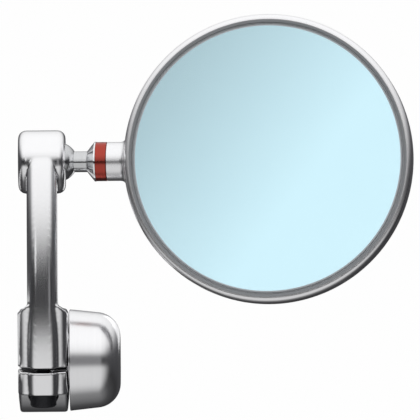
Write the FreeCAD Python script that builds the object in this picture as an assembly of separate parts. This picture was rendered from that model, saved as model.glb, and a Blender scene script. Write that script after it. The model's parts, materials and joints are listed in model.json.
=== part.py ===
import FreeCAD
import Part

import math
import os

# Bar-end mirror for the right end of a handlebar, in millimetres.
# The origin is on the bar's axis at the middle of the clamp ring.
# +X points outboard along the bar, +Y ahead of the rider and +Z up.

# Clamp ring
BAR_RADIUS = 11.1
BAR_DEPTH = 10.4
RING_WALL = 5.85
RING_WIDTH = 16.4
RING_EDGE_WIDTH = 15.6
RING_FLAT_WALL = 1.4
RING_EDGE_ROUND = 0.7
CLAMP_TILT = 9.6
SLOT_WIDTH = 1.4

# Clamp lug and its screw
SCREW_RADIUS = 2.5
SCREW_CLEARANCE = 0.2
SCREW_WALL = 0.9
SCREW_HEAD_RADIUS = 4.25
SCREW_HEAD_HEIGHT = 4.0
SCREW_KEY = 4.0
SCREW_KEY_DEPTH = 2.0
SCREW_HEAD_CHAMFER = 0.4
THREAD_CLEARANCE = 0.05
HEAD_POCKET_CLEARANCE = 0.3
SCREW_REACH = 8.0
TAP_RUNOUT = 1.2
STRIP_WALL = 2.3
LUG_DROP = 8.4
LUG_CORNER_ROUND = 3.4
SHOULDER_HEIGHT = 4.5
SHOULDER_SLOPE = 1.9
SHOULDER_EDGE = 0.7
SHOULDER_LENGTH = 10.6

# Curved arm
ARM_WIDTH = 9.9
ARM_THICKNESS = 10.0
STRIP_WIDTH = 6.0
STRIP_PROUD = 2.1
ARM_BEVEL_DEPTH = 1.7
ARM_BACK_BEVEL = 1.2
ARM_ARC_RADIUS = 140.0
ARM_ARC_MIDDLE = 3.0
WEB_HEIGHT = 8.0
WEB_SAG = 2.0

# Socket barrel across the arm's top
BARREL_RADIUS = 10.35
BARREL_HEIGHT = 64.9
BARREL_PROUD = 0.2
BARREL_EDGE_ROUND = 2.6

# Ball joint inside the barrel
BALL_RADIUS = 6.45
BALL_CLEARANCE = 0.05
BALL_INSET = 2.55
SEAT_WALL = 1.1
SEAT_LIP = 3.9
SPRING_THICKNESS = 0.5
SPRING_CONE = 0.3
SPRING_HOLE_RADIUS = 3.1
SPRING_CLEARANCE = 0.4
SPRING_GAP = 0.05
PLUG_LENGTH = 3.4
PLUG_RECESS = 0.3
PLUG_CLEARANCE = 0.02
PLUG_KEY = 5.0
PLUG_KEY_DEPTH = 1.8

# Stem between the ball and the head
NECK_RADIUS = 3.4
NECK_LENGTH = 4.2
SHANK_RADIUS = 2.5
SHANK_CLEARANCE = 0.05
SHANK_LENGTH = 16.0
CONE_RADIUS = 6.5
CONE_LENGTH = 2.5
CONE_LAND = 0.45
RED_RING_RADIUS = 6.4
RED_RING_WIDTH = 3.55
RED_RING_EDGE = 0.15
SWIVEL_GAP = 0.1
COLLAR_RADIUS = 6.35
COLLAR_LENGTH = 4.35
FLARE_RADIUS = 2.0
FLARE_SHOW = 1.6

# Grub screw in the collar and the groove that it runs in
GRUB_RADIUS = 1.5
GRUB_TIP_RADIUS = 1.0
GRUB_TIP_LENGTH = 0.8
GRUB_KEY = 1.5
GRUB_KEY_DEPTH = 1.2
GRUB_SINK = 0.4
GROOVE_DEPTH = 0.7
GROOVE_CLEARANCE = 0.3

# Mirror head
RIM_RADIUS = 47.2
RIM_LEAD = 8.6
RIM_WALL_DEPTH = 7.6
LIP_ROUND = 1.75
LIP_WIDTH = 2.7
LIP_BEVEL = 0.6
BACK_CORNER = 9.5
BACK_DOME = 150.0
SHELL_WALL = 2.2
GLASS_SINK = 0.7
GLASS_THICKNESS = 2.0
GLASS_CURVE = 1200.0
SEAL_WIDTH = 0.5
SEAL_SINK = 0.5
SEAL_CLEARANCE = 0.03
TAPE_THICKNESS = 1.0
TAPE_MARGIN = 0.5
LEDGE_WIDTH = 6.0

# The head's place in the photo: turned in and up, towards the rider
HEAD_YAW = 5.0
HEAD_PITCH = 5.0

# Bar-end cap
CAP_RADIUS = 16.6
CAP_LENGTH = 16.6
CAP_TAPER_LENGTH = 8.6
CAP_TAPER = 0.95
CAP_CORNER = 8.0
CAP_EDGE = 0.3
CAP_GAP = 0.35
SPIGOT_RADIUS = 9.0
SPIGOT_END_GAP = 0.2
SPIGOT_CLEARANCE = 0.05
SPIGOT_CHAMFER = 0.6

# Room that a cutting tool runs past the face it leaves
OVERRUN = 2.0

V = FreeCAD.Vector
ORIGIN = V(0, 0, 0)
X_AXIS = V(1, 0, 0)
Y_AXIS = V(0, 1, 0)
Z_AXIS = V(0, 0, 1)
FULL_TURN = 360.0

# Places worked out from the sizes above
RING_RADIUS = BAR_RADIUS + RING_WALL
BAR_STOP = BAR_DEPTH - RING_WIDTH / 2
SCREW_HOLE_RADIUS = SCREW_RADIUS + SCREW_CLEARANCE
SCREW_OFFSET = BAR_RADIUS + SCREW_WALL + SCREW_HOLE_RADIUS
STRIP_FRONT = SCREW_OFFSET + SCREW_HOLE_RADIUS + STRIP_WALL
LUG_FRONT = STRIP_FRONT - STRIP_PROUD
SHOULDER_TOP = RING_RADIUS + SHOULDER_HEIGHT
SHOULDER_FALL = math.tan(math.radians(CLAMP_TILT))
SHOULDER_END = SHOULDER_TOP - SHOULDER_LENGTH * SHOULDER_FALL
SOCKET_RADIUS = BALL_RADIUS + BALL_CLEARANCE
SPRING_STACK = 2 * (SPRING_THICKNESS + SPRING_CONE)
BARREL_LENGTH = (BALL_INSET + SOCKET_RADIUS + SEAT_WALL + SPRING_GAP + SPRING_STACK
                 + PLUG_LENGTH + PLUG_RECESS)
BALL_X = BARREL_LENGTH / 2 - BALL_INSET

# Places along the stem, measured from the ball's centre
NECK_START = math.sqrt(BALL_RADIUS ** 2 - NECK_RADIUS ** 2)
CONE_START = NECK_START + NECK_LENGTH
RED_RING_START = CONE_START + CONE_LENGTH + CONE_LAND
COLLAR_START = RED_RING_START + RED_RING_WIDTH + SWIVEL_GAP
COLLAR_END = COLLAR_START + COLLAR_LENGTH
MIRROR_X = COLLAR_END + FLARE_SHOW + RIM_RADIUS
SHANK_END = CONE_START + SHANK_LENGTH
GRUB_X = (COLLAR_START + COLLAR_END) / 2

# Levels across the head, measured from the stem's axis towards the back
RECESS_RADIUS = RIM_RADIUS - LIP_WIDTH
GLASS_RADIUS = RECESS_RADIUS - SEAL_WIDTH
GLASS_FRONT = -RIM_LEAD + GLASS_SINK
GLASS_BACK = GLASS_FRONT + GLASS_THICKNESS
LEDGE_LEVEL = GLASS_BACK + TAPE_THICKNESS
CAVITY_RADIUS = RECESS_RADIUS - LEDGE_WIDTH
CORNER_LEVEL = -RIM_LEAD + RIM_WALL_DEPTH


def tilt_point(y, z):
    """A point of the clamp's own upright frame, turned about the bar to its place."""
    turn = math.radians(CLAMP_TILT)
    return (y * math.cos(turn) - z * math.sin(turn), y * math.sin(turn) + z * math.cos(turn))


# The arm's arc is worked out in the clamp's frame, and the barrel lies against its upper end
ARC_Y = ARM_ARC_RADIUS - STRIP_FRONT
ARC_WORLD = tilt_point(ARC_Y, ARM_ARC_MIDDLE)
BARREL_REACH = ARM_ARC_RADIUS - BARREL_RADIUS + BARREL_PROUD
BARREL_LEAN = math.asin((BARREL_HEIGHT - ARC_WORLD[1]) / BARREL_REACH)
BARREL_Y = ARC_WORLD[0] - BARREL_REACH * math.cos(BARREL_LEAN)
BALL_CENTRE = V(BALL_X, BARREL_Y, BARREL_HEIGHT)


def face_of(points):
    """A flat face inside a closed run of straight lines."""
    return Part.Face(Part.makePolygon(points + [points[0]]))


def face_of_edges(edges):
    """A flat face inside a closed run of lines and arcs."""
    return Part.Face(Part.Wire([edge.toShape() for edge in edges]))


def line(start, end):
    return Part.LineSegment(start, end)


def arc(centre, radius, start_angle, end_angle):
    """An arc in the XY plane, from one angle to the other by way of their middle."""
    angles = [start_angle, (start_angle + end_angle) / 2, end_angle]
    points = []
    for angle in angles:
        turn = math.radians(angle)
        points.append(centre + V(radius * math.cos(turn), radius * math.sin(turn), 0))
    return Part.Arc(*points)


def turned(points):
    """A turned piece: (x, radius) points about the X axis."""
    return face_of([V(x, radius, 0) for x, radius in points]).revolve(ORIGIN, X_AXIS, FULL_TURN)


def rod(radius, start, end):
    """A round bar along the X axis."""
    return Part.makeCylinder(radius, end - start, V(start, 0, 0), X_AXIS)


def hexagon(across_flats, depth, start, direction):
    """A hexagon key socket that runs from start along a direction."""
    points = []
    for corner in range(6):
        turn = math.radians(60 * corner)
        points.append(V(math.cos(turn), math.sin(turn), 0) * (across_flats / math.sqrt(3)))
    prism = face_of(points).extrude(Z_AXIS * depth)
    prism.Placement = FreeCAD.Placement(start, FreeCAD.Rotation(Z_AXIS, direction))
    return prism


def circle_edges(shape, radius):
    """The round edges of a shape that have a given radius."""
    found = []
    for edge in shape.Edges:
        if isinstance(edge.Curve, Part.Circle) and abs(edge.Curve.Radius - radius) < 0.001:
            found.append(edge)
    return found


def clamp_ring():
    """The ring's blank, a little narrower at its outer edge, before it is bored."""
    half = RING_WIDTH / 2
    edge = RING_EDGE_WIDTH / 2
    flat = BAR_RADIUS + RING_FLAT_WALL
    right = [(edge, RING_RADIUS), (half, flat), (half, 0)]
    left = [(-x, radius) for x, radius in reversed(right)]
    blank = turned(left + right)
    return blank.makeFillet(RING_EDGE_ROUND, circle_edges(blank, RING_RADIUS))


def clamp_lug():
    """The lug in front of the ring: its outlines from the front, the side and above, in common."""
    half = RING_WIDTH / 2
    shoulder_end = -LUG_FRONT + SHOULDER_LENGTH
    reach = math.hypot(shoulder_end, SHOULDER_END)
    touch = math.atan2(SHOULDER_END, shoulder_end) - math.acos(RING_RADIUS / reach)
    touch_y = RING_RADIUS * math.cos(touch)
    touch_z = RING_RADIUS * math.sin(touch)
    depth = LUG_FRONT + touch_y

    # The shoulders run back level with the bar, so they fall away in the tilted clamp's frame
    shoulder = SHOULDER_TOP - SHOULDER_SLOPE
    side = shoulder - SHOULDER_EDGE
    right = [(half, side), (half - SHOULDER_EDGE, shoulder), (ARM_WIDTH / 2, SHOULDER_TOP)]
    left = [(-x, z) for x, z in reversed(right)]
    outline = [(-half, -LUG_DROP), (half, -LUG_DROP)] + right + left
    face = face_of([V(x, -LUG_FRONT, z) for x, z in outline])
    front = face.extrude(V(0, depth, -depth * SHOULDER_FALL))

    # From the side they end in a line that touches the ring
    profile = [(-LUG_FRONT, -LUG_DROP), (-LUG_FRONT, SHOULDER_TOP), (shoulder_end, SHOULDER_END),
               (touch_y, touch_z), (touch_y, -LUG_DROP)]
    side_view = face_of([V(-half, y, z) for y, z in profile]).extrude(X_AXIS * RING_WIDTH)

    # From above the front corners are well rounded
    height = LUG_DROP + SHOULDER_TOP + OVERRUN
    plan = Part.makeBox(RING_WIDTH, depth, height, V(-half, -LUG_FRONT, -LUG_DROP))
    corners = [edge for edge in plan.Edges if upright_front_edge(edge)]
    plan = plan.makeFillet(LUG_CORNER_ROUND, corners)
    return front.common(side_view).common(plan)


def upright_front_edge(edge):
    """True for an upright edge on the lug's front."""
    ends = [vertex.Point for vertex in edge.Vertexes]
    upright = abs(ends[0].z - ends[1].z) > 0.001
    return upright and all(abs(end.y + LUG_FRONT) < 0.001 for end in ends)


def curved_arm():
    """The arm's bevelled section, swept along its arc from the lug's foot to the barrel."""
    half = ARM_WIDTH / 2
    strip = STRIP_WIDTH / 2
    front = -STRIP_FRONT
    back = front + ARM_THICKNESS
    right = [(strip, front), (half, front + ARM_BEVEL_DEPTH),
             (half, back - ARM_BACK_BEVEL), (half - ARM_BACK_BEVEL, back)]
    left = [(-x, y) for x, y in reversed(right)]
    section = face_of([V(x, y, ARM_ARC_MIDDLE) for x, y in right + left])
    arc_centre = V(0, ARC_Y, ARM_ARC_MIDDLE)
    foot = ARM_ARC_MIDDLE + LUG_DROP + OVERRUN
    drop = math.degrees(math.asin(foot / (ARM_ARC_RADIUS - ARM_THICKNESS)))
    rise = math.degrees(BARREL_LEAN) + CLAMP_TILT
    section.rotate(arc_centre, X_AXIS, drop)
    arm_blank = section.revolve(arc_centre, -X_AXIS, drop + rise)
    corner = V(-ARM_WIDTH, -2 * STRIP_FRONT, -2 * LUG_DROP)
    below = Part.makeBox(2 * ARM_WIDTH, 2 * STRIP_FRONT, LUG_DROP, corner)
    return arm_blank.cut(below)


def arm_web():
    """The concave web that carries the arm's back into the top of the ring."""
    arm_back = -STRIP_FRONT + ARM_THICKNESS
    inside = arm_back - ARM_THICKNESS / 2
    upper = (arm_back, SHOULDER_TOP + WEB_HEIGHT)
    lower = (-LUG_FRONT + SHOULDER_LENGTH + WEB_HEIGHT / 2, SHOULDER_END - SHOULDER_SLOPE)
    middle = ((upper[0] + lower[0]) / 2 - WEB_SAG, (upper[1] + lower[1]) / 2 - WEB_SAG)
    points = [V(-ARM_WIDTH / 2, y, z) for y, z in (upper, middle, lower)]
    foot = V(-ARM_WIDTH / 2, lower[0], RING_RADIUS - SHOULDER_HEIGHT)
    heel = V(-ARM_WIDTH / 2, inside, RING_RADIUS - SHOULDER_HEIGHT)
    head = V(-ARM_WIDTH / 2, inside, upper[1])
    straight = [points[2], foot, heel, head, points[0]]
    edges = [Part.Arc(*points)] + [line(one, two) for one, two in zip(straight, straight[1:])]
    return face_of_edges(edges).extrude(X_AXIS * ARM_WIDTH)


def barrel():
    """The socket barrel, with well rounded ends."""
    half = BARREL_LENGTH / 2
    blank = rod(BARREL_RADIUS, -half, half)
    blank = blank.makeFillet(BARREL_EDGE_ROUND, circle_edges(blank, BARREL_RADIUS))
    blank.translate(V(0, BARREL_Y, BARREL_HEIGHT))
    return blank


def clamp_cuts():
    """The split, the screw's holes and the pocket round its head, in the clamp's frame."""
    width = RING_WIDTH + 2 * OVERRUN
    depth = STRIP_FRONT + OVERRUN
    split = Part.makeBox(width, depth, SLOT_WIDTH, V(-width / 2, -depth, -SLOT_WIDTH / 2))
    axis = V(0, -SCREW_OFFSET, 0)
    tapped = Part.makeCylinder(SCREW_RADIUS, SCREW_REACH + TAP_RUNOUT, axis, Z_AXIS)
    clear = Part.makeCylinder(SCREW_HOLE_RADIUS, LUG_DROP, axis, -Z_AXIS)
    pocket_radius = SCREW_HEAD_RADIUS + HEAD_POCKET_CLEARANCE
    pocket = Part.makeCylinder(pocket_radius, RING_RADIUS, axis + Z_AXIS * -LUG_DROP, -Z_AXIS)
    return [split, tapped, clear, pocket]


def ball_socket():
    """The room for the ball: a bore from the inboard end with a round bottom, open at the mouth."""
    end = -BALL_X - BARREL_LENGTH / 2 - OVERRUN
    dome = arc(ORIGIN, SOCKET_RADIUS, 90, 0)
    points = [V(SOCKET_RADIUS, 0, 0), V(end, 0, 0), V(end, SOCKET_RADIUS, 0), V(0, SOCKET_RADIUS, 0)]
    edges = [dome] + [line(one, two) for one, two in zip(points, points[1:])]
    return face_of_edges(edges).revolve(ORIGIN, X_AXIS, FULL_TURN)


def arm():
    """The arm in one piece: ring, lug, arm and barrel, then bored, split and socketed."""
    blank = clamp_ring().fuse([clamp_lug(), curved_arm(), arm_web()])
    blank = blank.cut(clamp_cuts())
    blank.rotate(ORIGIN, X_AXIS, CLAMP_TILT)
    blank = blank.fuse(barrel())
    bar = rod(BAR_RADIUS, -RING_WIDTH, BAR_STOP)
    cap_bore = rod(SPIGOT_RADIUS + SPIGOT_CLEARANCE, 0, RING_WIDTH)
    return blank.cut([bar, cap_bore, set_in_barrel(ball_socket())]).removeSplitter()


def clamp_screw():
    """Socket head screw, put in from below, its thread left plain."""
    seat = V(0, -SCREW_OFFSET, -LUG_DROP)
    head = Part.makeCylinder(SCREW_HEAD_RADIUS, SCREW_HEAD_HEIGHT, seat, -Z_AXIS)
    head = head.makeChamfer(SCREW_HEAD_CHAMFER, bottom_circle(head))
    thread_radius = SCREW_RADIUS - THREAD_CLEARANCE
    shaft = Part.makeCylinder(thread_radius, SCREW_REACH + LUG_DROP, seat, Z_AXIS)
    key = hexagon(SCREW_KEY, SCREW_KEY_DEPTH, seat - Z_AXIS * SCREW_HEAD_HEIGHT, Z_AXIS)
    screw = head.fuse(shaft).cut(key).removeSplitter()
    screw.rotate(ORIGIN, X_AXIS, CLAMP_TILT)
    return screw


def bottom_circle(shape):
    """The lowest round edge of a shape."""
    return [min(shape.Edges, key=lambda edge: edge.BoundBox.ZMax)]


def bar_end_cap():
    """The cap: a spigot in the ring's outer end, a short taper and a rounded dome."""
    start = RING_WIDTH / 2 + CAP_GAP
    end = start + CAP_LENGTH
    spigot = SPIGOT_RADIUS
    spigot_end = BAR_STOP + SPIGOT_END_GAP
    shoulder = CAP_RADIUS - CAP_TAPER
    arc_centre = V(end - CAP_CORNER, shoulder - CAP_CORNER, 0)
    slope = math.degrees(math.atan2(CAP_TAPER, CAP_TAPER_LENGTH))
    dome = arc(arc_centre, CAP_CORNER, 90 - slope, 0)
    dome_start = dome.value(dome.FirstParameter)
    dome_end = dome.value(dome.LastParameter)
    corners = [(end, 0), (spigot_end, 0),
               (spigot_end, spigot - SPIGOT_CHAMFER), (spigot_end + SPIGOT_CHAMFER, spigot),
               (start, spigot), (start, CAP_RADIUS - CAP_EDGE), (start + CAP_EDGE, CAP_RADIUS)]
    points = [dome_end] + [V(x, radius, 0) for x, radius in corners] + [dome_start]
    edges = [line(one, two) for one, two in zip(points, points[1:])] + [dome]
    return face_of_edges(edges).revolve(ORIGIN, X_AXIS, FULL_TURN)


def rear_ball_seat():
    """The cup behind the ball, with a round hollow that fits it."""
    radius = SOCKET_RADIUS - BALL_CLEARANCE
    back = -SOCKET_RADIUS - SEAT_WALL
    lip_angle = math.degrees(math.acos(-SEAT_LIP / SOCKET_RADIUS))
    hollow = arc(ORIGIN, SOCKET_RADIUS, lip_angle, 180)
    points = [V(-SOCKET_RADIUS, 0, 0), V(back, 0, 0), V(back, radius, 0), V(-SEAT_LIP, radius, 0),
              hollow.value(hollow.FirstParameter)]
    edges = [hollow] + [line(one, two) for one, two in zip(points, points[1:])]
    return face_of_edges(edges).revolve(ORIGIN, X_AXIS, FULL_TURN)


def disc_springs():
    """Two conical washers, set edge to edge between the cup and the plug."""
    outer = SOCKET_RADIUS - SPRING_CLEARANCE
    inner = SPRING_HOLE_RADIUS
    start = -SOCKET_RADIUS - SEAT_WALL - SPRING_GAP
    height = SPRING_CONE + SPRING_THICKNESS
    washers = []
    for lean, base in ((1, start), (-1, start - 2 * height)):
        section = [(base, inner), (base - lean * SPRING_CONE, outer),
                   (base - lean * height, outer), (base - lean * SPRING_THICKNESS, inner)]
        washers.append(turned(section))
    return Part.makeCompound(washers)


def adjuster_plug():
    """The plug that closes the barrel's inboard end, with its hexagon socket."""
    radius = SOCKET_RADIUS - PLUG_CLEARANCE
    end = -SOCKET_RADIUS - SEAT_WALL - SPRING_GAP - SPRING_STACK
    start = end - PLUG_LENGTH
    plug = rod(radius, start, end)
    return plug.cut(hexagon(PLUG_KEY, PLUG_KEY_DEPTH, V(start, 0, 0), X_AXIS))


def ball_stud():
    """Ball, neck and shank turned in one piece, with the groove that holds the head on."""
    half_groove = GRUB_TIP_RADIUS + GROOVE_CLEARANCE
    floor = SHANK_RADIUS - GROOVE_DEPTH
    neck_angle = math.degrees(math.asin(NECK_RADIUS / BALL_RADIUS))
    ball = arc(ORIGIN, BALL_RADIUS, 180, neck_angle)
    corners = [(NECK_START, NECK_RADIUS), (CONE_START, NECK_RADIUS), (CONE_START, SHANK_RADIUS),
               (GRUB_X - half_groove, SHANK_RADIUS), (GRUB_X - half_groove, floor),
               (GRUB_X + half_groove, floor), (GRUB_X + half_groove, SHANK_RADIUS),
               (SHANK_END, SHANK_RADIUS), (SHANK_END, 0), (-BALL_RADIUS, 0)]
    points = [V(x, radius, 0) for x, radius in corners]
    edges = [ball] + [line(one, two) for one, two in zip(points, points[1:])]
    return face_of_edges(edges).revolve(ORIGIN, X_AXIS, FULL_TURN)


def stem_cone():
    """The silver cone between the neck and the red ring."""
    hole = SHANK_RADIUS + SHANK_CLEARANCE
    cone_end = CONE_START + CONE_LENGTH
    return turned([(CONE_START, hole), (CONE_START, NECK_RADIUS), (cone_end, CONE_RADIUS),
                   (RED_RING_START, CONE_RADIUS), (RED_RING_START, hole)])


def red_ring():
    """The red ring, its edges just broken."""
    hole = SHANK_RADIUS + SHANK_CLEARANCE
    end = RED_RING_START + RED_RING_WIDTH
    edge = RED_RING_RADIUS - RED_RING_EDGE
    return turned([(RED_RING_START, hole), (RED_RING_START, edge),
                   (RED_RING_START + RED_RING_EDGE, RED_RING_RADIUS),
                   (end - RED_RING_EDGE, RED_RING_RADIUS), (end, edge), (end, hole)])


def bowl_outside():
    """The head's outer form: rounded lip, short wall, back corner and shallow dome."""
    crest = RIM_RADIUS - LIP_ROUND
    front = -RIM_LEAD
    corner_radius = RIM_RADIUS - BACK_CORNER
    dome_drop = math.sqrt((BACK_DOME - BACK_CORNER) ** 2 - corner_radius ** 2)
    dome_centre = V(0, CORNER_LEVEL - dome_drop, 0)
    corner_angle = math.degrees(math.atan2(dome_drop, corner_radius))
    lip = arc(V(crest, front + LIP_ROUND, 0), LIP_ROUND, -90, 0)
    corner = arc(V(corner_radius, CORNER_LEVEL, 0), BACK_CORNER, 0, corner_angle)
    dome = arc(dome_centre, BACK_DOME, corner_angle, 90)
    wall = line(lip.value(lip.LastParameter), corner.value(corner.FirstParameter))
    apex = dome.value(dome.LastParameter)
    middle = V(0, front, 0)
    edges = [lip, wall, corner, dome, line(apex, middle), line(middle, lip.value(lip.FirstParameter))]
    return face_of_edges(edges).revolve(ORIGIN, Y_AXIS, FULL_TURN), dome_centre.y


def bowl_inside(dome_level):
    """The room inside the head: the glass's recess and the hollow behind it."""
    front = -RIM_LEAD
    bevel = face_of([V(0, front - LIP_BEVEL, 0), V(RECESS_RADIUS + 2 * LIP_BEVEL, front - LIP_BEVEL, 0),
                     V(RECESS_RADIUS, front + LIP_BEVEL, 0), V(0, front + LIP_BEVEL, 0)])
    recess = Part.makeCylinder(RECESS_RADIUS, LEDGE_LEVEL - front, V(0, front, 0), Y_AXIS)
    hollow = Part.makeCylinder(CAVITY_RADIUS, BACK_DOME, V(0, front, 0), Y_AXIS)
    hollow = hollow.common(Part.makeSphere(BACK_DOME - SHELL_WALL, V(0, dome_level, 0)))
    return [bevel.revolve(ORIGIN, Y_AXIS, FULL_TURN), recess, hollow]


def mirror_housing():
    """The turned bowl with its collar, flared where it meets the rim, bored for the shank."""
    bowl, dome_level = bowl_outside()
    bowl.translate(X_AXIS * MIRROR_X)
    boss_radius = COLLAR_RADIUS + FLARE_RADIUS
    boss_end = MIRROR_X - CAVITY_RADIUS
    flare = arc(V(COLLAR_END, boss_radius, 0), FLARE_RADIUS, -90, 0)
    corners = [(COLLAR_END + FLARE_RADIUS, boss_radius), (boss_end, boss_radius), (boss_end, 0),
               (COLLAR_START, 0), (COLLAR_START, COLLAR_RADIUS), (COLLAR_END, COLLAR_RADIUS)]
    points = [V(x, radius, 0) for x, radius in corners]
    edges = [flare] + [line(one, two) for one, two in zip(points, points[1:])]
    collar = face_of_edges(edges).revolve(ORIGIN, X_AXIS, FULL_TURN)
    room = bowl_inside(dome_level)
    for tool in room:
        tool.translate(X_AXIS * MIRROR_X)
    hole = rod(SHANK_RADIUS + SHANK_CLEARANCE, 0, SHANK_END + GROOVE_CLEARANCE)
    tapped = Part.makeCylinder(GRUB_RADIUS, 2 * COLLAR_RADIUS, V(GRUB_X, 0, 0), Y_AXIS)
    return bowl.fuse(collar).cut(room + [hole, tapped]).removeSplitter()


def mirror_glass():
    """The glass, its front bulged a little."""
    sag = GLASS_CURVE - math.sqrt(GLASS_CURVE ** 2 - GLASS_RADIUS ** 2)
    disc = Part.makeCylinder(GLASS_RADIUS, GLASS_THICKNESS + sag, V(MIRROR_X, GLASS_FRONT - sag, 0), Y_AXIS)
    return disc.common(Part.makeSphere(GLASS_CURVE, V(MIRROR_X, GLASS_FRONT - sag + GLASS_CURVE, 0)))


def flat_ring(outer, inner, front, back):
    """A ring round the mirror's axis, between two levels."""
    ring = Part.makeCylinder(outer, back - front, V(MIRROR_X, front, 0), Y_AXIS)
    return ring.cut(Part.makeCylinder(inner, back - front, V(MIRROR_X, front, 0), Y_AXIS))


def glass_seal():
    """The black ring between the glass's edge and the lip."""
    outer = RECESS_RADIUS - SEAL_CLEARANCE
    return flat_ring(outer, GLASS_RADIUS + SEAL_CLEARANCE, GLASS_FRONT + SEAL_SINK, LEDGE_LEVEL)


def adhesive_ring():
    """The foam tape between the glass and its ledge."""
    return flat_ring(GLASS_RADIUS - TAPE_MARGIN, CAVITY_RADIUS + TAPE_MARGIN, GLASS_BACK, LEDGE_LEVEL)


def head_grub_screw():
    """The grub screw in the collar's back, its dog point in the shank's groove."""
    floor = SHANK_RADIUS - GROOVE_DEPTH + GROOVE_CLEARANCE
    top = COLLAR_RADIUS - GRUB_SINK
    body_start = floor + GRUB_TIP_LENGTH
    thread_radius = GRUB_RADIUS - THREAD_CLEARANCE
    body = Part.makeCylinder(thread_radius, top - body_start, V(GRUB_X, body_start, 0), Y_AXIS)
    tip = Part.makeCylinder(GRUB_TIP_RADIUS, GRUB_TIP_LENGTH, V(GRUB_X, floor, 0), Y_AXIS)
    key = hexagon(GRUB_KEY, GRUB_KEY_DEPTH, V(GRUB_X, top, 0), -Y_AXIS)
    return body.fuse(tip).cut(key).removeSplitter()


def set_in_barrel(shape):
    """A piece of the ball joint, from the ball's centre to its place in the barrel."""
    shape.translate(BALL_CENTRE)
    return shape


def set_on_stem(shape):
    """A piece of the stem, turned in about the ball."""
    shape.rotate(ORIGIN, Z_AXIS, -HEAD_YAW)
    return set_in_barrel(shape)


def set_on_head(shape):
    """A piece of the head, turned up about the stem and then in about the ball."""
    shape.rotate(ORIGIN, X_AXIS, -HEAD_PITCH)
    return set_on_stem(shape)


def main():
    pieces = {
        "arm": arm(),
        "clamp_screw": clamp_screw(),
        "bar_end_cap": bar_end_cap(),
        "rear_ball_seat": set_in_barrel(rear_ball_seat()),
        "disc_springs": set_in_barrel(disc_springs()),
        "adjuster_plug": set_in_barrel(adjuster_plug()),
        "ball_stud": set_on_stem(ball_stud()),
        "stem_cone": set_on_stem(stem_cone()),
        "red_ring": set_on_stem(red_ring()),
        "mirror_housing": set_on_head(mirror_housing()),
        "adhesive_ring": set_on_head(adhesive_ring()),
        "mirror_glass": set_on_head(mirror_glass()),
        "glass_seal": set_on_head(glass_seal()),
        "head_grub_screw": set_on_head(head_grub_screw()),
    }
    os.makedirs("parts", exist_ok=True)
    for name, shape in pieces.items():
        shape.exportStep("parts/" + name + ".step")
        print(name, "solids", len(shape.Solids), "valid", shape.isValid(), "volume", round(shape.Volume, 1))
    print("ball centre", BALL_CENTRE)


main()
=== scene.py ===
import json
import math

import bmesh
import bpy
from mathutils import Matrix, Vector


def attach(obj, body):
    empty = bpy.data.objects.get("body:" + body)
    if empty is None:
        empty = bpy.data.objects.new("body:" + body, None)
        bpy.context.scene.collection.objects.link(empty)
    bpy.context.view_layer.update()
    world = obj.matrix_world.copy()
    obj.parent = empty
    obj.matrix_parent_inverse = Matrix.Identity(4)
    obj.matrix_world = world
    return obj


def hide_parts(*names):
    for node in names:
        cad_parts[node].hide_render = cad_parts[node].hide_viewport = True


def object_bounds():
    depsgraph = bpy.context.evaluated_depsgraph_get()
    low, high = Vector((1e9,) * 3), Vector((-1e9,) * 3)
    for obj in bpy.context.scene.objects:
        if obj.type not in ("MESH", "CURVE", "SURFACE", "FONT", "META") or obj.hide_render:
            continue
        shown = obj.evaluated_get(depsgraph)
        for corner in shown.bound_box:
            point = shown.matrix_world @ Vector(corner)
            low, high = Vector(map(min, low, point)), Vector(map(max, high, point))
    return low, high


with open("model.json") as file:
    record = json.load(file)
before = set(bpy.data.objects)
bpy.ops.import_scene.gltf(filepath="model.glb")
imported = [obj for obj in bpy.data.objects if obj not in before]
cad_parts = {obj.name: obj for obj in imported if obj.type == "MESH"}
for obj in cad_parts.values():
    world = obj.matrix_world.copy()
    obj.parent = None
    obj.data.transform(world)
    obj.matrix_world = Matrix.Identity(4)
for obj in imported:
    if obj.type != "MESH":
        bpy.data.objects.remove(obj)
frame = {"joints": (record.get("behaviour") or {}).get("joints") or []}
CAD_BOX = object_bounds()

bl_info = {
    "name": "Bar-end mirror",
    "version": (1, 0, 0),
    "blender": (4, 5, 0),
    "location": "View3D > Sidebar > Mirror",
    "description": "Models and finishes a round bar-end mirror round its packed frame",
    "category": "Add Mesh",
}

MM = 0.001
QUARTER_TURN = math.pi / 2
SEGMENTS = 192
ROUND_STEPS = 10
HEXAGON = 6
OVERRUN = 2 * MM
MERGE_DISTANCE = 0.0005 * MM
NEAR = 0.001 * MM
SHARP_ANGLE = math.radians(32)

# A turn of a thread from root to crest to root: distance along it and depth, in shares of the pitch
THREAD_TURN = ((0.06, 0.6), (0.44, 0), (0.56, 0), (0.94, 0.6))

# How far outside the bore its painted shade ends, how far it is full, and its margin at the ring's sides
BORE_SHADE_FADE = (3 * MM, 2 * MM)
BORE_SHADE_MARGIN = 0.5 * MM

# Shades of the studio by degrees above the horizon, in its tent and round the back
TENT_SHADES = ((-90, "#7E7E7E"), (-82, "#9E9E9E"), (-74, "#BCBCBC"), (-60, "#D6D6D6"), (-16, "#D6D6D6"),
               (-12, "#9E9E9E"), (-9, "#4E4E4E"), (-6, "#262628"), (4, "#262628"), (8, "#464648"),
               (11, "#8E8E8E"), (14, "#C0C0C0"), (18, "#E2E2E2"), (24, "#F4F4F4"), (40, "#FFFFFF"))
BACK_SHADES = ((-90, "#7E7E7E"), (-72, "#6E6E6F"), (-50, "#464647"), (-25, "#303031"), (-10, "#3E3E40"),
               (10, "#464648"), (20, "#929294"), (28, "#D0D0D0"), (40, "#EEEEEE"), (80, "#FFFFFF"))

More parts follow.
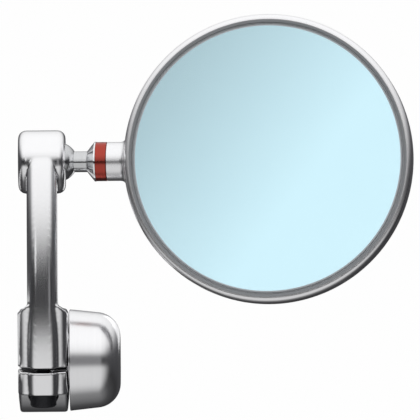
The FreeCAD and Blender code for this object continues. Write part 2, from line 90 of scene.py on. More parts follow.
# The tent and two round cards: degrees right of the camera and above the horizon, then full and faded reach
TENT = ((-8, 0), (18, 84))
GLASS_CARD = ((-10, 10), (5.6, 6.6))
GLASS_CARD_SHADES = (0.44, 1.03)
GLASS_CARD_SLOPE = Vector((1.15, 0, -0.85)).normalized()
SIDE_CARD = ((15, -1), (5, 14))
SIDE_CARD_SHADE = "#7C7C7E"

# Soft boxes: place, what each faces, its width and height in millimetres, and its power
SOFT_BOXES = {"rear_soft_box": ((75, 90, 45), (75, 0, 45), (70, 70), 0.013),
              "low_soft_box": ((-130, 60, 4), (-8, -16, 4), (220, 30), 0.0125)}

# The ball's centre and the stem's direction come from the frame's joints
JOINTS = {joint["name"]: joint for joint in frame["joints"]}
BALL_CENTRE = Vector(JOINTS["ball_tilt"]["pos_m"])
STEM_DIRECTION = Vector(JOINTS["head_swivel"]["axis"])
IN_FRAME = Matrix.Identity(4)
IN_BARREL = Matrix.Translation(BALL_CENTRE)
X_TO_STEM = Vector((1, 0, 0)).rotation_difference(STEM_DIRECTION)
ON_STEM = IN_BARREL @ X_TO_STEM.to_matrix().to_4x4()
X_TO_Y = Matrix.Rotation(QUARTER_TURN, 4, "Z")
X_TO_Z = Matrix.Rotation(-QUARTER_TURN, 4, "Y")


def length(name, description, millimetres):
    """A size in millimetres as a length property."""
    return bpy.props.FloatProperty(name=name, description=description, default=millimetres * MM,
                                   min=0, precision=5, unit="LENGTH")


def angle(name, description, degrees):
    """An angle in degrees as an angle property."""
    return bpy.props.FloatProperty(name=name, description=description,
                                   default=math.radians(degrees), unit="ROTATION")


def linear(hex_colour):
    """An sRGB hex colour as linear red, green, blue and alpha."""
    channels = []
    for place in (1, 3, 5):
        value = int(hex_colour[place:place + 2], 16) / 255
        channels.append(value / 12.92 if value <= 0.04045 else ((value + 0.055) / 1.055) ** 2.4)
    return (*channels, 1.0)


def colour(name, description, hex_colour):
    """An sRGB hex colour as a colour property."""
    return bpy.props.FloatVectorProperty(name=name, description=description, size=4, min=0, max=1,
                                         default=linear(hex_colour), subtype="COLOR")


class ArmSizes(bpy.types.PropertyGroup):
    """Sizes of the arm, its clamp and its barrel."""

    bar_radius: length("Bar radius", "Half the handlebar's diameter", 11.1)
    bar_depth: length("Bar depth", "How far the bar enters the clamp", 10.4)
    ring_radius: length("Ring radius", "Outer radius of the clamp ring", 16.95)
    ring_width: length("Ring width", "Width of the clamp ring at its flat sides", 16.4)
    ring_edge_width: length("Ring edge width", "Width of the clamp ring at its outside", 15.6)
    ring_flat_radius: length("Ring flat radius", "Radius where the ring's flat sides end", 12.5)
    ring_edge_round: length("Ring edge round", "Round on the ring's outer edges", 0.7)
    clamp_tilt: angle("Clamp tilt", "How far the clamp is turned about the bar", 9.6)
    slot_width: length("Slot width", "Width of the clamp's split", 1.4)
    screw_offset: length("Screw offset", "From the bar's axis to the screw's", 14.7)
    screw_hole: length("Screw hole", "Radius of the clearance hole", 2.7)
    screw_tap: length("Screw tap", "Radius of the tapped hole", 2.5)
    screw_reach: length("Screw reach", "Depth of the tapped hole", 9.2)
    pocket_radius: length("Pocket radius", "Radius of the pocket round the screw's head", 4.55)
    lug_front: length("Lug front", "From the bar's axis to the lug's front", 17.6)
    lug_drop: length("Lug drop", "From the split to the lug's lower face", 8.4)
    lug_corner_round: length("Lug corner round", "Round on the lug's upright corners", 3.4)
    shoulder_height: length("Shoulder height", "Rise of the shoulders over the ring", 4.5)
    shoulder_slope: length("Shoulder slope", "Fall of a shoulder towards its edge", 1.9)
    shoulder_edge: length("Shoulder edge", "Chamfer at a shoulder's edge", 0.7)
    shoulder_length: length("Shoulder length", "Level stretch of the shoulders", 10.6)
    arm_width: length("Arm width", "Width of the curved arm", 9.9)
    arm_thickness: length("Arm thickness", "Depth of the curved arm", 10.0)
    strip_front: length("Strip front", "From the bar's axis to the arm's front strip", 19.7)
    strip_width: length("Strip width", "Width of the arm's front strip", 6.0)
    front_bevel: length("Front bevel", "Depth of the bevel beside the strip", 1.7)
    back_bevel: length("Back bevel", "Bevel on the arm's back", 1.2)
    edge_round: length("Edge round", "Length that each edge of the arm is rounded over", 0.8)
    arc_radius: length("Arc radius", "Radius of the arm's front", 140.0)
    arc_middle: length("Arc middle", "Height of the arc's centre in the clamp's frame", 3.0)
    web_height: length("Web height", "Height of the web behind the arm", 8.0)
    web_sag: length("Web sag", "How far the web's curve dips", 2.0)
    barrel_radius: length("Barrel radius", "Radius of the socket barrel", 10.35)
    barrel_length: length("Barrel length", "Length of the socket barrel", 15.5)
    barrel_round: length("Barrel round", "Round on the barrel's ends", 2.6)
    socket_radius: length("Socket radius", "Radius of the ball's socket", 6.5)
    voxel: length("Polish grid", "Grid on which the edges are polished round", 0.34)
    polish: bpy.props.IntProperty(name="Polish passes", description="Rounds of edge polishing", default=8)


class CapSizes(bpy.types.PropertyGroup):
    """Sizes of the bar-end cap."""

    start: length("Start", "From the clamp's middle to the cap's inner face", 8.55)
    length: length("Length", "Length of the cap outside the clamp", 16.6)
    radius: length("Radius", "Radius at the inner edge", 16.6)
    taper: length("Taper", "How much the radius falls along the taper", 0.95)
    taper_length: length("Taper length", "Length of the taper", 8.6)
    corner: length("Corner", "Round between the taper and the end", 8.0)
    edge: length("Edge", "Round on the inner edge", 0.3)
    spigot_radius: length("Spigot radius", "Radius of the spigot in the clamp", 9.0)
    spigot_end: length("Spigot end", "From the clamp's middle to the spigot's end", 2.4)
    spigot_chamfer: length("Spigot chamfer", "Chamfer on the spigot's end", 0.6)


class JointSizes(bpy.types.PropertyGroup):
    """Sizes of the ball joint and the stem, measured from the ball's centre."""

    ball_radius: length("Ball radius", "Radius of the ball", 6.45)
    seat_wall: length("Seat wall", "Wall of the cup behind the ball", 1.1)
    seat_lip: length("Seat lip", "From the ball's centre to the cup's lip", 3.9)
    spring_thickness: length("Spring thickness", "Thickness of a disc spring", 0.5)
    spring_cone: length("Spring cone", "Height of a disc spring's cone", 0.3)
    spring_hole: length("Spring hole", "Radius of a disc spring's hole", 3.1)
    spring_radius: length("Spring radius", "Outer radius of a disc spring", 6.1)
    spring_start: length("Spring start", "From the ball's centre to the first spring", 7.65)
    plug_start: length("Plug start", "From the ball's centre to the plug", 9.25)
    plug_length: length("Plug length", "Length of the plug", 3.4)
    plug_radius: length("Plug radius", "Radius of the plug over its thread", 6.48)
    plug_key: length("Plug key", "Across the flats of the plug's socket", 5.0)
    plug_key_depth: length("Plug key depth", "Depth of the plug's socket", 1.8)
    neck_radius: length("Neck radius", "Radius of the neck", 3.4)
    neck_length: length("Neck length", "Length of the neck", 4.2)
    shank_radius: length("Shank radius", "Radius of the shank", 2.5)
    shank_length: length("Shank length", "Length of the shank", 16.0)
    shank_clearance: length("Shank clearance", "Clearance round the shank", 0.05)
    shank_end_gap: length("Shank end gap", "Room past the shank's end", 0.3)
    groove_depth: length("Groove depth", "Depth of the groove in the shank", 0.7)
    groove_half: length("Groove half", "Half the width of the groove", 1.3)
    cone_radius: length("Cone radius", "Largest radius of the cone", 6.5)
    cone_length: length("Cone length", "Length of the cone", 2.5)
    cone_land: length("Cone land", "Straight land at the cone's end", 0.45)
    ring_radius: length("Red ring radius", "Radius of the red ring", 6.4)
    ring_width: length("Red ring width", "Width of the red ring", 3.55)
    ring_edge: length("Red ring edge", "Chamfer on the red ring's edges", 0.15)
    swivel_gap: length("Swivel gap", "Gap between the red ring and the collar", 0.1)


class HeadSizes(bpy.types.PropertyGroup):
    """Sizes of the mirror head. Levels are measured from the stem's axis towards the back."""

    pitch: angle("Pitch", "How far the head is turned up about the stem", 5.0)
    collar_radius: length("Collar radius", "Radius of the collar", 6.35)
    collar_length: length("Collar length", "Length of the collar", 4.35)
    collar_edge: length("Collar edge", "Chamfer on the collar's end", 0.12)
    flare_radius: length("Flare radius", "Round from the collar into the rim", 2.0)
    flare_show: length("Flare show", "Length of the flare that shows", 1.6)
    rim_radius: length("Rim radius", "Outer radius of the head", 47.2)
    rim_lead: length("Rim lead", "From the stem's axis to the lip's crest", 8.6)
    wall_depth: length("Wall depth", "Depth of the rim's straight wall", 7.6)
    lip_round: length("Lip round", "Round on the lip's outside", 1.75)
    lip_width: length("Lip width", "Width of the lip", 2.7)
    lip_bevel: length("Lip bevel", "Bevel on the lip's inside", 0.6)
    # Painted shade: the matt grey band on the lip's inner edge stands in for the shade on its bevel
    lip_shade_width: length("Sealant width", "Width of the sealant on the lip's inner edge", 0.95)
    back_corner: length("Back corner", "Round from the wall into the back", 9.5)
    back_dome: length("Back dome", "Radius of the domed back", 150.0)
    shell_wall: length("Shell wall", "Wall of the bowl", 2.2)
    ledge_width: length("Ledge width", "Width of the ledge under the glass", 6.0)
    glass_sink: length("Glass sink", "From the lip's crest to the glass's edge", 0.7)
    glass_thickness: length("Glass thickness", "Thickness of the glass at its edge", 2.0)
    glass_curve: length("Glass curve", "Radius of the glass's bulge", 1200.0)
    glass_edge: length("Glass edge", "Ground edge of the glass", 0.2)
    # Painted shade: the grey band at the glass's edge stands in for the shade of the groove round it
    edge_shade_width: length("Coat margin", "Uncoated edge of the glass", 0.6)
    seal_width: length("Seal width", "Width of the seal", 0.5)
    seal_sink: length("Seal sink", "From the glass's edge to the seal", 0.5)
    seal_clearance: length("Seal clearance", "Clearance beside the seal", 0.03)
    tape_thickness: length("Tape thickness", "Thickness of the foam tape", 1.0)
    tape_margin: length("Tape margin", "Margin beside the foam tape", 0.5)
    grub_radius: length("Grub radius", "Radius of the grub screw's hole", 1.5)


class ScrewSizes(bpy.types.PropertyGroup):
    """Sizes of the clamp screw and the grub screw."""

    head_radius: length("Head radius", "Radius of the screw's head", 4.25)
    head_height: length("Head height", "Height of the screw's head", 4.0)
    head_chamfer: length("Head chamfer", "Chamfer on the screw's head", 0.4)
    knurl_depth: length("Knurl depth", "Depth of the knurl round the head", 0.09)
    key: length("Key", "Across the flats of the screw's socket", 4.0)
    key_depth: length("Key depth", "Depth of the screw's socket", 2.0)
    thread_radius: length("Thread radius", "Radius over the screw's thread", 2.45)
    thread_length: length("Thread length", "Length of the screw under its head", 16.4)
    pitch: length("Thread pitch", "Pitch of the screw's thread", 0.8)
    grub_thread_radius: length("Grub thread radius", "Radius over the grub screw's thread", 1.45)
    grub_pitch: length("Grub pitch", "Pitch of the grub screw's thread", 0.5)
    grub_tip_radius: length("Grub tip radius", "Radius of the grub screw's tip", 1.0)
    grub_tip_length: length("Grub tip length", "Length of the grub screw's tip", 0.8)
    grub_floor: length("Grub floor", "From the stem's axis to the tip", 2.1)
    grub_top: length("Grub top", "From the stem's axis to the socket's face", 5.95)
    grub_key: length("Grub key", "Across the flats of the grub screw's socket", 1.5)
    grub_key_depth: length("Grub key depth", "Depth of the grub screw's socket", 1.2)


class Finishes(bpy.types.PropertyGroup):
    """Colours of the finishes."""

    aluminium: colour("Aluminium", "Polished aluminium", "#FAFAFB")
    aluminium_shade: colour("Aluminium shade", "Polished aluminium where the grain is deeper", "#EDEDEF")
    # Painted shade: the dull grey inside the clamp's bore stands in for the shade there
    bore: colour("Bore", "Bare aluminium inside the clamp", "#5A5A5D")
    # Painted shade: matt grey for the lip's bevel, standing in for the shade that lies there
    lip_shade: colour("Sealant", "Grey sealant on the lip's inner edge", "#8C8E91")
    red: colour("Red", "Red anodising", "#B54F44")
    red_shade: colour("Red shade", "Red anodising where it is thinner", "#A04038")
    steel: colour("Steel", "Polished steel", "#D9DADB")
    steel_shade: colour("Steel shade", "Polished steel along its turning marks", "#C3C4C6")
    black: colour("Black steel", "Blackened steel", "#1B1B1D")
    black_shade: colour("Black steel shade", "Blackened steel where it is worn", "#34353A")
    acetal: colour("Acetal", "Natural acetal", "#E9E7DF")
    acetal_shade: colour("Acetal shade", "Acetal where it is rubbed", "#D6D3C8")
    rubber: colour("Rubber", "Grey rubber", "#C4C6C9")
    rubber_shade: colour("Rubber shade", "Grey rubber where it is dusty", "#D0D2D4")
    glass: colour("Glass", "Pale blue coat of the glass", "#D2F4FE")
    glass_shade: colour("Glass shade", "Coat of the glass where it is thicker", "#CFF1FC")
    # Painted shade: grey for the glass's edge band, standing in for the shade of the groove round it
    glass_edge: colour("Glass edge", "Ground edge of the glass", "#B8BCC0")


class StageSettings(bpy.types.PropertyGroup):
    """The camera, the floor and the light."""

    middle_x: length("Middle across", "What the camera is centred on, across", 54.82)
    middle_z: length("Middle up", "What the camera is centred on, upwards", 48.8)
    view_width: length("View width", "Width that the camera sees at the bar's axis", 137.6)
    distance: length("Distance", "From the camera to the object", 3000.0)
    floor_drop: length("Floor drop", "From the clamp's lowest point to the floor", 45.0)
    floor_size: length("Floor size", "Width of the round floor", 3000.0)
    strength: bpy.props.FloatProperty(name="Strength", description="Strength of the studio light",
                                      default=1.07)
    roll: angle("Roll", "How far the camera is turned about its own axis", 0.45)
    backdrop: colour("Backdrop", "White paper backdrop", "#FEFEFE")
    floor: colour("Floor", "Pale floor", "#F4F4F4")


def arc(centre, radius, start, end, steps=ROUND_STEPS):
    """Points of (x, radius) along a round, between two angles in degrees."""
    points = []
    for step in range(steps + 1):
        turn = math.radians(start + (end - start) * step / steps)
        points.append((centre[0] + radius * math.cos(turn), centre[1] + radius * math.sin(turn)))
    return points


def thread(start, end, radius, pitch):
    """Points of (x, radius) along a thread, as crests and roots."""
    points = []
    for turn in range(int((end - start) / pitch)):
        for along, depth in THREAD_TURN:
            points.append((start + (turn + along) * pitch, radius - depth * pitch))
    return points


def start_circle(name, x, radius, fill):
    """A circle about the X axis, left in edit mode as a new piece."""
    bpy.ops.object.select_all(action="DESELECT")
    bpy.ops.mesh.primitive_circle_add(vertices=SEGMENTS, radius=radius, fill_type=fill,
                                      location=(x, 0, 0), rotation=(0, QUARTER_TURN, 0))
    bpy.ops.object.transform_apply()
    piece = bpy.context.object
    piece.name = name
    bpy.ops.object.mode_set(mode="EDIT")
    bpy.ops.mesh.select_all(action="SELECT")
    return piece


def extrude_along(profile):
    """Extrudes the selected circle along a profile and resizes it at each point."""
    x, radius = profile[0]
    for next_x, next_radius in profile[1:]:
        bpy.ops.mesh.extrude_region_move(TRANSFORM_OT_translate={"value": (next_x - x, 0, 0)})
        if next_radius == 0:
            bpy.ops.mesh.merge(type="CENTER")
            break
        growth = next_radius / radius
        bpy.ops.transform.resize(value=(1, growth, growth), center_override=(next_x, 0, 0))
        x, radius = next_x, next_radius


def close_piece(piece):
    """Merges doubles, points the faces outwards and leaves edit mode."""
    bpy.ops.mesh.select_all(action="SELECT")
    bpy.ops.mesh.remove_doubles(threshold=MERGE_DISTANCE)
    bpy.ops.mesh.normals_make_consistent(inside=False)
    bpy.ops.mesh.select_mode(type="EDGE")
    bpy.ops.mesh.select_all(action="DESELECT")
    bpy.ops.mesh.select_non_manifold()
    open_edges = sum(edge.select for edge in bmesh.from_edit_mesh(piece.data).edges)
    bpy.ops.mesh.select_mode(type="VERT")
    bpy.ops.object.mode_set(mode="OBJECT")
    if open_edges:
        raise RuntimeError(f"{piece.name} has {open_edges} open edges")
    return piece


def turn_solid(name, profile):
    """A turned solid about the X axis, from a flat end along a profile to a flat end or a pole."""
    piece = start_circle(name, *profile[0], "NGON")
    extrude_along(profile)
    return close_piece(piece)


def turn_ring(name, profile):
    """A turned ring about the X axis, whose profile runs round and meets itself."""
    piece = start_circle(name, *profile[0], "NOTHING")
    extrude_along(profile + [profile[0]])
    return close_piece(piece)


def turn_with_socket(name, profile, across_flats, depth):
    """A turned solid whose first end has a hexagon socket."""
    face_x = profile[0][0]
    piece = start_circle(name, *profile[0], "NOTHING")
    extrude_along(profile)
    bpy.ops.mesh.edge_face_add()
    bpy.ops.mesh.select_all(action="DESELECT")
    bpy.ops.mesh.primitive_circle_add(vertices=HEXAGON, radius=across_flats / math.sqrt(3),
                                      location=(face_x, 0, 0), rotation=(0, QUARTER_TURN, 0))
    bpy.ops.mesh.subdivide(number_cuts=SEGMENTS // HEXAGON - 1)
    bpy.ops.mesh.extrude_region_move(TRANSFORM_OT_translate={"value": (depth, 0, 0)})
    bpy.ops.mesh.edge_face_add()
    select_edges(piece, lambda one, two: abs(one.x - face_x) < NEAR and abs(two.x - face_x) < NEAR)
    bpy.ops.mesh.bridge_edge_loops()
    return close_piece(piece)


def select_edges(piece, test):
    """Selects the edges of a piece in edit mode whose two ends pass a test."""
    bpy.ops.mesh.select_mode(type="EDGE")
    bpy.ops.mesh.select_all(action="DESELECT")
    mesh = bmesh.from_edit_mesh(piece.data)
    for edge in mesh.edges:
        if test(edge.verts[0].co, edge.verts[1].co):
            edge.select = True
    mesh.select_flush_mode()
    bmesh.update_edit_mesh(piece.data)


def make_active(piece):
    """Selects one piece and nothing else."""
    bpy.ops.object.select_all(action="DESELECT")
    piece.select_set(True)
    bpy.context.view_layer.objects.active = piece


def put(piece, place):
    """Moves a piece to its place and keeps the place in its mesh."""
    make_active(piece)
    piece.matrix_world = place
    bpy.ops.object.transform_apply()
    return piece


def apply_modifier(piece, kind, **settings):
    """Adds a modifier to a piece and applies it."""
    make_active(piece)
    modifier = piece.modifiers.new(kind.title(), kind)
    for setting, value in settings.items():
        setattr(modifier, setting, value)
    bpy.ops.object.modifier_apply(modifier=modifier.name)


def combine(piece, tool, operation):
    """Joins a solid to a piece, cuts it from the piece, or keeps what they have in common."""
    apply_modifier(piece, "BOOLEAN", operation=operation, solver="MANIFOLD", object=tool)
    bpy.data.objects.remove(tool)
    if not piece.data.polygons:
        raise RuntimeError(f"{piece.name} has no faces left after {operation}")
    return piece


def block(name, low, high):
    """A block between two corners, left in edit mode."""
    bpy.ops.object.select_all(action="DESELECT")
    size = Vector(high) - Vector(low)
    bpy.ops.mesh.primitive_cube_add(size=1, location=Vector(low) + size / 2, scale=size)
    bpy.ops.object.transform_apply()
    piece = bpy.context.object
    piece.name = name
    bpy.ops.object.mode_set(mode="EDIT")
    return piece


def cut_off(point, outwards, fill=True):
    """Cuts off what lies beyond a plane, from all of the mesh in edit mode."""
    bpy.ops.mesh.select_mode(type="VERT")
    bpy.ops.mesh.select_all(action="SELECT")
    bpy.ops.mesh.bisect(plane_co=point, plane_no=Vector(outwards).normalized(), use_fill=fill,
                        clear_outer=True, threshold=NEAR)


def rod(name, start, end, radius, place):
    """A plain round tool from start to end along its own X axis."""
    return put(turn_solid(name, [(start, radius), (end, radius)]), place)


def finish_piece(piece, node, body, material, sharp=True):
    """Shades a piece, gives it its finish and sets it on its body in place of a node."""
    make_active(piece)
    if sharp:
        bpy.ops.object.shade_smooth_by_angle(angle=SHARP_ANGLE)
        apply_modifier(piece, "WEIGHTED_NORMAL", weight=60, keep_sharp=True)
    else:
        bpy.ops.object.shade_smooth()
    piece.data.materials.clear()
    piece.data.materials.append(material)
    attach(piece, body)
    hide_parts(node)


def add_node(tree, kind, inputs=None, **settings):
    """Adds a node with its settings. An input that is a socket is linked, any other is set."""
    node = tree.nodes.new(kind)
    for setting, value in settings.items():
        setattr(node, setting, value)
    for key, value in (inputs or {}).items():
        if isinstance(value, bpy.types.NodeSocket):
            tree.links.new(value, node.inputs[key])
        else:
            node.inputs[key].default_value = value
    return node


def per_metre(millimetres):
    """The scale of a pattern whose features are that many millimetres across."""
    return 1 / (millimetres * MM)


def surface(name, inputs, build):
    """A material: a shader with plain inputs, and what build links to its sockets."""
    if name in bpy.data.materials:
        return bpy.data.materials[name]
    material = bpy.data.materials.new(name)
    material.use_nodes = True
    tree = material.node_tree
    tree.nodes.clear()
    shader = add_node(tree, "ShaderNodeBsdfPrincipled", inputs)
    add_node(tree, "ShaderNodeOutputMaterial", {"Surface": shader.outputs["BSDF"]})
    for socket, source in build(tree).items():
        tree.links.new(source, shader.inputs[socket])
    return material


def finish_colour(name):
    """A colour of a finish, as the user sets it."""
    return getattr(bpy.context.scene.mirror_finishes, name)


def level_and_radius(tree, place):
    """Level along the axis of a turned piece, and distance from that axis."""
    coordinates = add_node(tree, "ShaderNodeTexCoord")
    inverse = place.inverted()
    mapping = add_node(tree, "ShaderNodeMapping", {
        "Vector": coordinates.outputs["Object"], "Location": inverse.to_translation(),
        "Rotation": inverse.to_euler()})
    split = add_node(tree, "ShaderNodeSeparateXYZ", {"Vector": mapping.outputs["Vector"]})
    across = add_node(tree, "ShaderNodeCombineXYZ", {"Y": split.outputs["Y"], "Z": split.outputs["Z"]})
    radius = add_node(tree, "ShaderNodeVectorMath", {0: across.outputs["Vector"]}, operation="LENGTH")
    return split.outputs["X"], radius.outputs["Value"]


def grain(tree, place, tint, size, roughness, bump):
    """Colour, roughness and bump that follow one noise: rings round a place, or else a speckle.

    The size is in millimetres. The bump is a strength and a depth in millimetres, or None.
    """
    if place is None:
        vector = add_node(tree, "ShaderNodeTexCoord").outputs["Object"]
    else:
        level, radius = level_and_radius(tree, place)
        vector = add_node(tree, "ShaderNodeCombineXYZ", {"X": level, "Y": radius}).outputs["Vector"]

    # Polishing and turning marks are finer in life, and are drawn as coarse as they need to show
    noise = add_node(tree, "ShaderNodeTexNoise", {"Vector": vector, "Scale": per_metre(size),
                                                  "Detail": 3, "Roughness": 0.6})
    mixed = add_node(tree, "ShaderNodeMix", {"Factor": noise.outputs["Fac"], "A": finish_colour(tint),
                                             "B": finish_colour(tint + "_shade")}, data_type="RGBA")
    rough = add_node(tree, "ShaderNodeMapRange", {"Value": noise.outputs["Fac"], "To Min": roughness[0],
                                                  "To Max": roughness[1]})
    sockets = {"Base Color": mixed.outputs["Result"], "Roughness": rough.outputs["Result"]}
    if bump:
        relief = add_node(tree, "ShaderNodeBump", {"Height": noise.outputs["Fac"], "Strength": bump[0],
                                                   "Distance": bump[1] * MM})
        sockets["Normal"] = relief.outputs["Normal"]
    return sockets


def painted_shade_over(tree, sockets, mask, tint, roughness, metallic=None):
    """A finish with painted shade where a mask is 1: there it has the shade's colour and roughness.

    A metallic value, where one is given, holds beside the painted shade, which is no metal.
    """
    mixed = add_node(tree, "ShaderNodeMix", {"Factor": mask, "A": sockets["Base Color"],
                                             "B": finish_colour(tint)}, data_type="RGBA")
    shade_rough = add_node(tree, "ShaderNodeMath", {0: mask, 1: roughness}, operation="MULTIPLY")
    rough = add_node(tree, "ShaderNodeMath", {0: shade_rough.outputs["Value"], 1: sockets["Roughness"]},
                     operation="MAXIMUM")
    result = {**sockets, "Base Color": mixed.outputs["Result"], "Roughness": rough.outputs["Value"]}
    if metallic:
        metal = add_node(tree, "ShaderNodeMapRange", {"Value": mask, "To Min": metallic, "To Max": 0.0})
        result["Metallic"] = metal.outputs["Result"]
    return result


def plain_finish(name, inputs, *marks, **settings):
    """A material whose shader has plain inputs and one grain."""
    return surface(name, inputs, lambda tree: grain(tree, *marks, **settings))


def satin_aluminium(bore, half_width):
    """Aluminium, machined and hand polished: bright, with a fine speckle, and a dull grey painted shade
    inside its bore.
    """
    def build(tree):
        polished = grain(tree, None, "aluminium", size=0.35, roughness=(0.14, 0.21), bump=(0.12, 0.02))
        # Painted shade inside the bore: dull grey near the bar's radius, within the ring's width
        level, radius = level_and_radius(tree, IN_FRAME)
        bore_shade_fade = add_node(tree, "ShaderNodeMapRange", {"Value": radius, "From Min": bore + BORE_SHADE_FADE[0],
                                                     "From Max": bore + BORE_SHADE_FADE[1]})
        within = add_node(tree, "ShaderNodeMath", {0: level, 1: 0.0, 2: half_width}, operation="COMPARE")
        inside = add_node(tree, "ShaderNodeMath", {0: bore_shade_fade.outputs["Result"], 1: within.outputs["Value"]},
                          operation="MULTIPLY")
        return painted_shade_over(tree, polished, inside.outputs["Value"], "bore", roughness=0.6)
    return surface("satin_polished_aluminium", {"Metallic": 1.0}, build)


def turned_aluminium(name, place, roughness):
    """Aluminium turned and polished on the lathe: bright, with faint rings round its axis."""
    return plain_finish(name, {"Metallic": 1.0}, place, "aluminium", size=0.22, roughness=roughness,
                        bump=(0.08, 0.01))


def rim_aluminium(place, lip, front):
    """Turned aluminium for the head: softly bright, with a matt grey band of painted shade inside the lip.
    """
    def build(tree):
        turned = grain(tree, place, "aluminium", size=0.22, roughness=(0.24, 0.32), bump=(0.03, 0.01))
        # The lip's bevel and the wall beside the glass are painted matt grey, as their shade
        level, radius = level_and_radius(tree, place)
        inner = add_node(tree, "ShaderNodeMath", {0: radius, 1: lip}, operation="LESS_THAN")
        before = add_node(tree, "ShaderNodeMath", {0: level, 1: front}, operation="LESS_THAN")
        shaded_lip = add_node(tree, "ShaderNodeMath", {0: inner.outputs["Value"], 1: before.outputs["Value"]},
                          operation="MULTIPLY")
        return painted_shade_over(tree, turned, shaded_lip.outputs["Value"], "lip_shade", roughness=0.6, metallic=1.0)
    return surface("turned_aluminium_head", {}, build)


def red_anodised():
    """Turned aluminium, anodised red: a metallic red that darkens where it turns away."""
    return plain_finish("red_anodised_aluminium", {"Metallic": 1.0}, ON_STEM, "red", size=0.2,
                        roughness=(0.2, 0.28), bump=(0.08, 0.01))


def polished_steel():
    """Turned and polished steel: a little darker than the aluminium, with fine turning rings."""
    return plain_finish("polished_turned_steel", {"Metallic": 1.0}, ON_STEM, "steel", size=0.15,
                        roughness=(0.08, 0.15), bump=(0.06, 0.01))


def blackened_steel():
    """Steel with a black oxide finish: near black, dull, a little paler where it is handled."""
    return plain_finish("black_oxide_steel", {"Metallic": 0.6}, None, "black", size=0.4,
                        roughness=(0.32, 0.5), bump=(0.15, 0.02))


def natural_acetal():
    """Turned natural acetal: waxy off-white, softly shiny."""
    return plain_finish("turned_natural_acetal", {"IOR": 1.48}, None, "acetal", size=0.8,
                        roughness=(0.3, 0.42), bump=(0.1, 0.02))


def grey_rubber():
    """Moulded grey rubber and foam: matt, with a fine pebble."""
    return plain_finish("moulded_grey_rubber", {"IOR": 1.52}, None, "rubber", size=0.3,
                        roughness=(0.6, 0.8), bump=(0.3, 0.03))


def blue_mirror_glass(place, coat):
    """Convex glass with a pale blue reflecting coat: a clear, cool mirror with a narrow grey band of
    painted shade at its edge.
    """
    def build(tree):
        coating = grain(tree, None, "glass", size=30, roughness=(0.025, 0.035), bump=None)
        radius = level_and_radius(tree, place)[1]
        # The glass's outer band is painted grey and matt, as the groove's shade
        edge = add_node(tree, "ShaderNodeMath", {0: radius, 1: coat}, operation="GREATER_THAN")
        return painted_shade_over(tree, coating, edge.outputs["Value"], "glass_edge", roughness=0.5, metallic=0.75)
    return surface("blue_coated_mirror_glass", {}, build)


def circle_through(one, two, three):
    """Centre and radius of the circle through three points of a plane."""
    double = 2 * (one[0] * (two[1] - three[1]) + two[0] * (three[1] - one[1])
                  + three[0] * (one[1] - two[1]))
    squares = [point[0] ** 2 + point[1] ** 2 for point in (one, two, three)]
    x = (squares[0] * (two[1] - three[1]) + squares[1] * (three[1] - one[1])
         + squares[2] * (one[1] - two[1])) / double
    y = (squares[0] * (three[0] - two[0]) + squares[1] * (one[0] - three[0])
         + squares[2] * (two[0] - one[0])) / double
    return (x, y), math.hypot(one[0] - x, one[1] - y)


def clamp_ring(sizes):
    """The clamp ring's blank."""
    half = sizes.ring_width / 2
    edge = sizes.ring_edge_width / 2
    corner = sizes.ring_edge_round
    rounded = arc((edge - corner, sizes.ring_radius - corner), corner, 90, 0)
    right = rounded + [(half, sizes.ring_flat_radius)]
    left = [(-x, radius) for x, radius in reversed(right)]
    return turn_solid("ring", left + right)


def shoulder_levels(sizes):
    """Heights of the shoulders at the lug's front and at their end. The clamp's tilt brings them level."""
    top = sizes.ring_radius + sizes.shoulder_height
    return top, top - sizes.shoulder_length * math.tan(sizes.clamp_tilt)


def clamp_lug(sizes):
    """The lug in front of the ring, with its shoulders and its rounded corners."""
    half = sizes.ring_width / 2
    front = -sizes.lug_front
    top, end = shoulder_levels(sizes)
    shoulder_end = front + sizes.shoulder_length
    touch = math.atan2(end, shoulder_end) - math.acos(sizes.ring_radius / math.hypot(shoulder_end, end))
    back = sizes.ring_radius * math.cos(touch)
    lug = block("lug", (-half, front, -sizes.lug_drop), (half, back, top + OVERRUN))
    select_edges(lug, lambda one, two: max(one.y, two.y) < front + NEAR and abs(one.z - two.z) > NEAR)
    bpy.ops.mesh.bevel(offset=sizes.lug_corner_round, segments=ROUND_STEPS * 2, affect="EDGES")

    # The cuts over the shoulders all fall away to the back by the clamp's tilt
    fall = math.tan(sizes.clamp_tilt)
    inner = half - sizes.shoulder_edge
    shoulder = top - sizes.shoulder_slope
    run = inner - sizes.arm_width / 2
    cut_off((0, shoulder_end, end), (0, math.cos(touch), math.sin(touch)))
    cut_off((0, front, top), (0, fall, 1))
    for way in (1, -1):
        cut_off((way * inner, front, shoulder), (way, fall, 1))
        cut_off((way * inner, front, shoulder), (way * sizes.shoulder_slope, run * fall, run))
    return close_piece(lug)


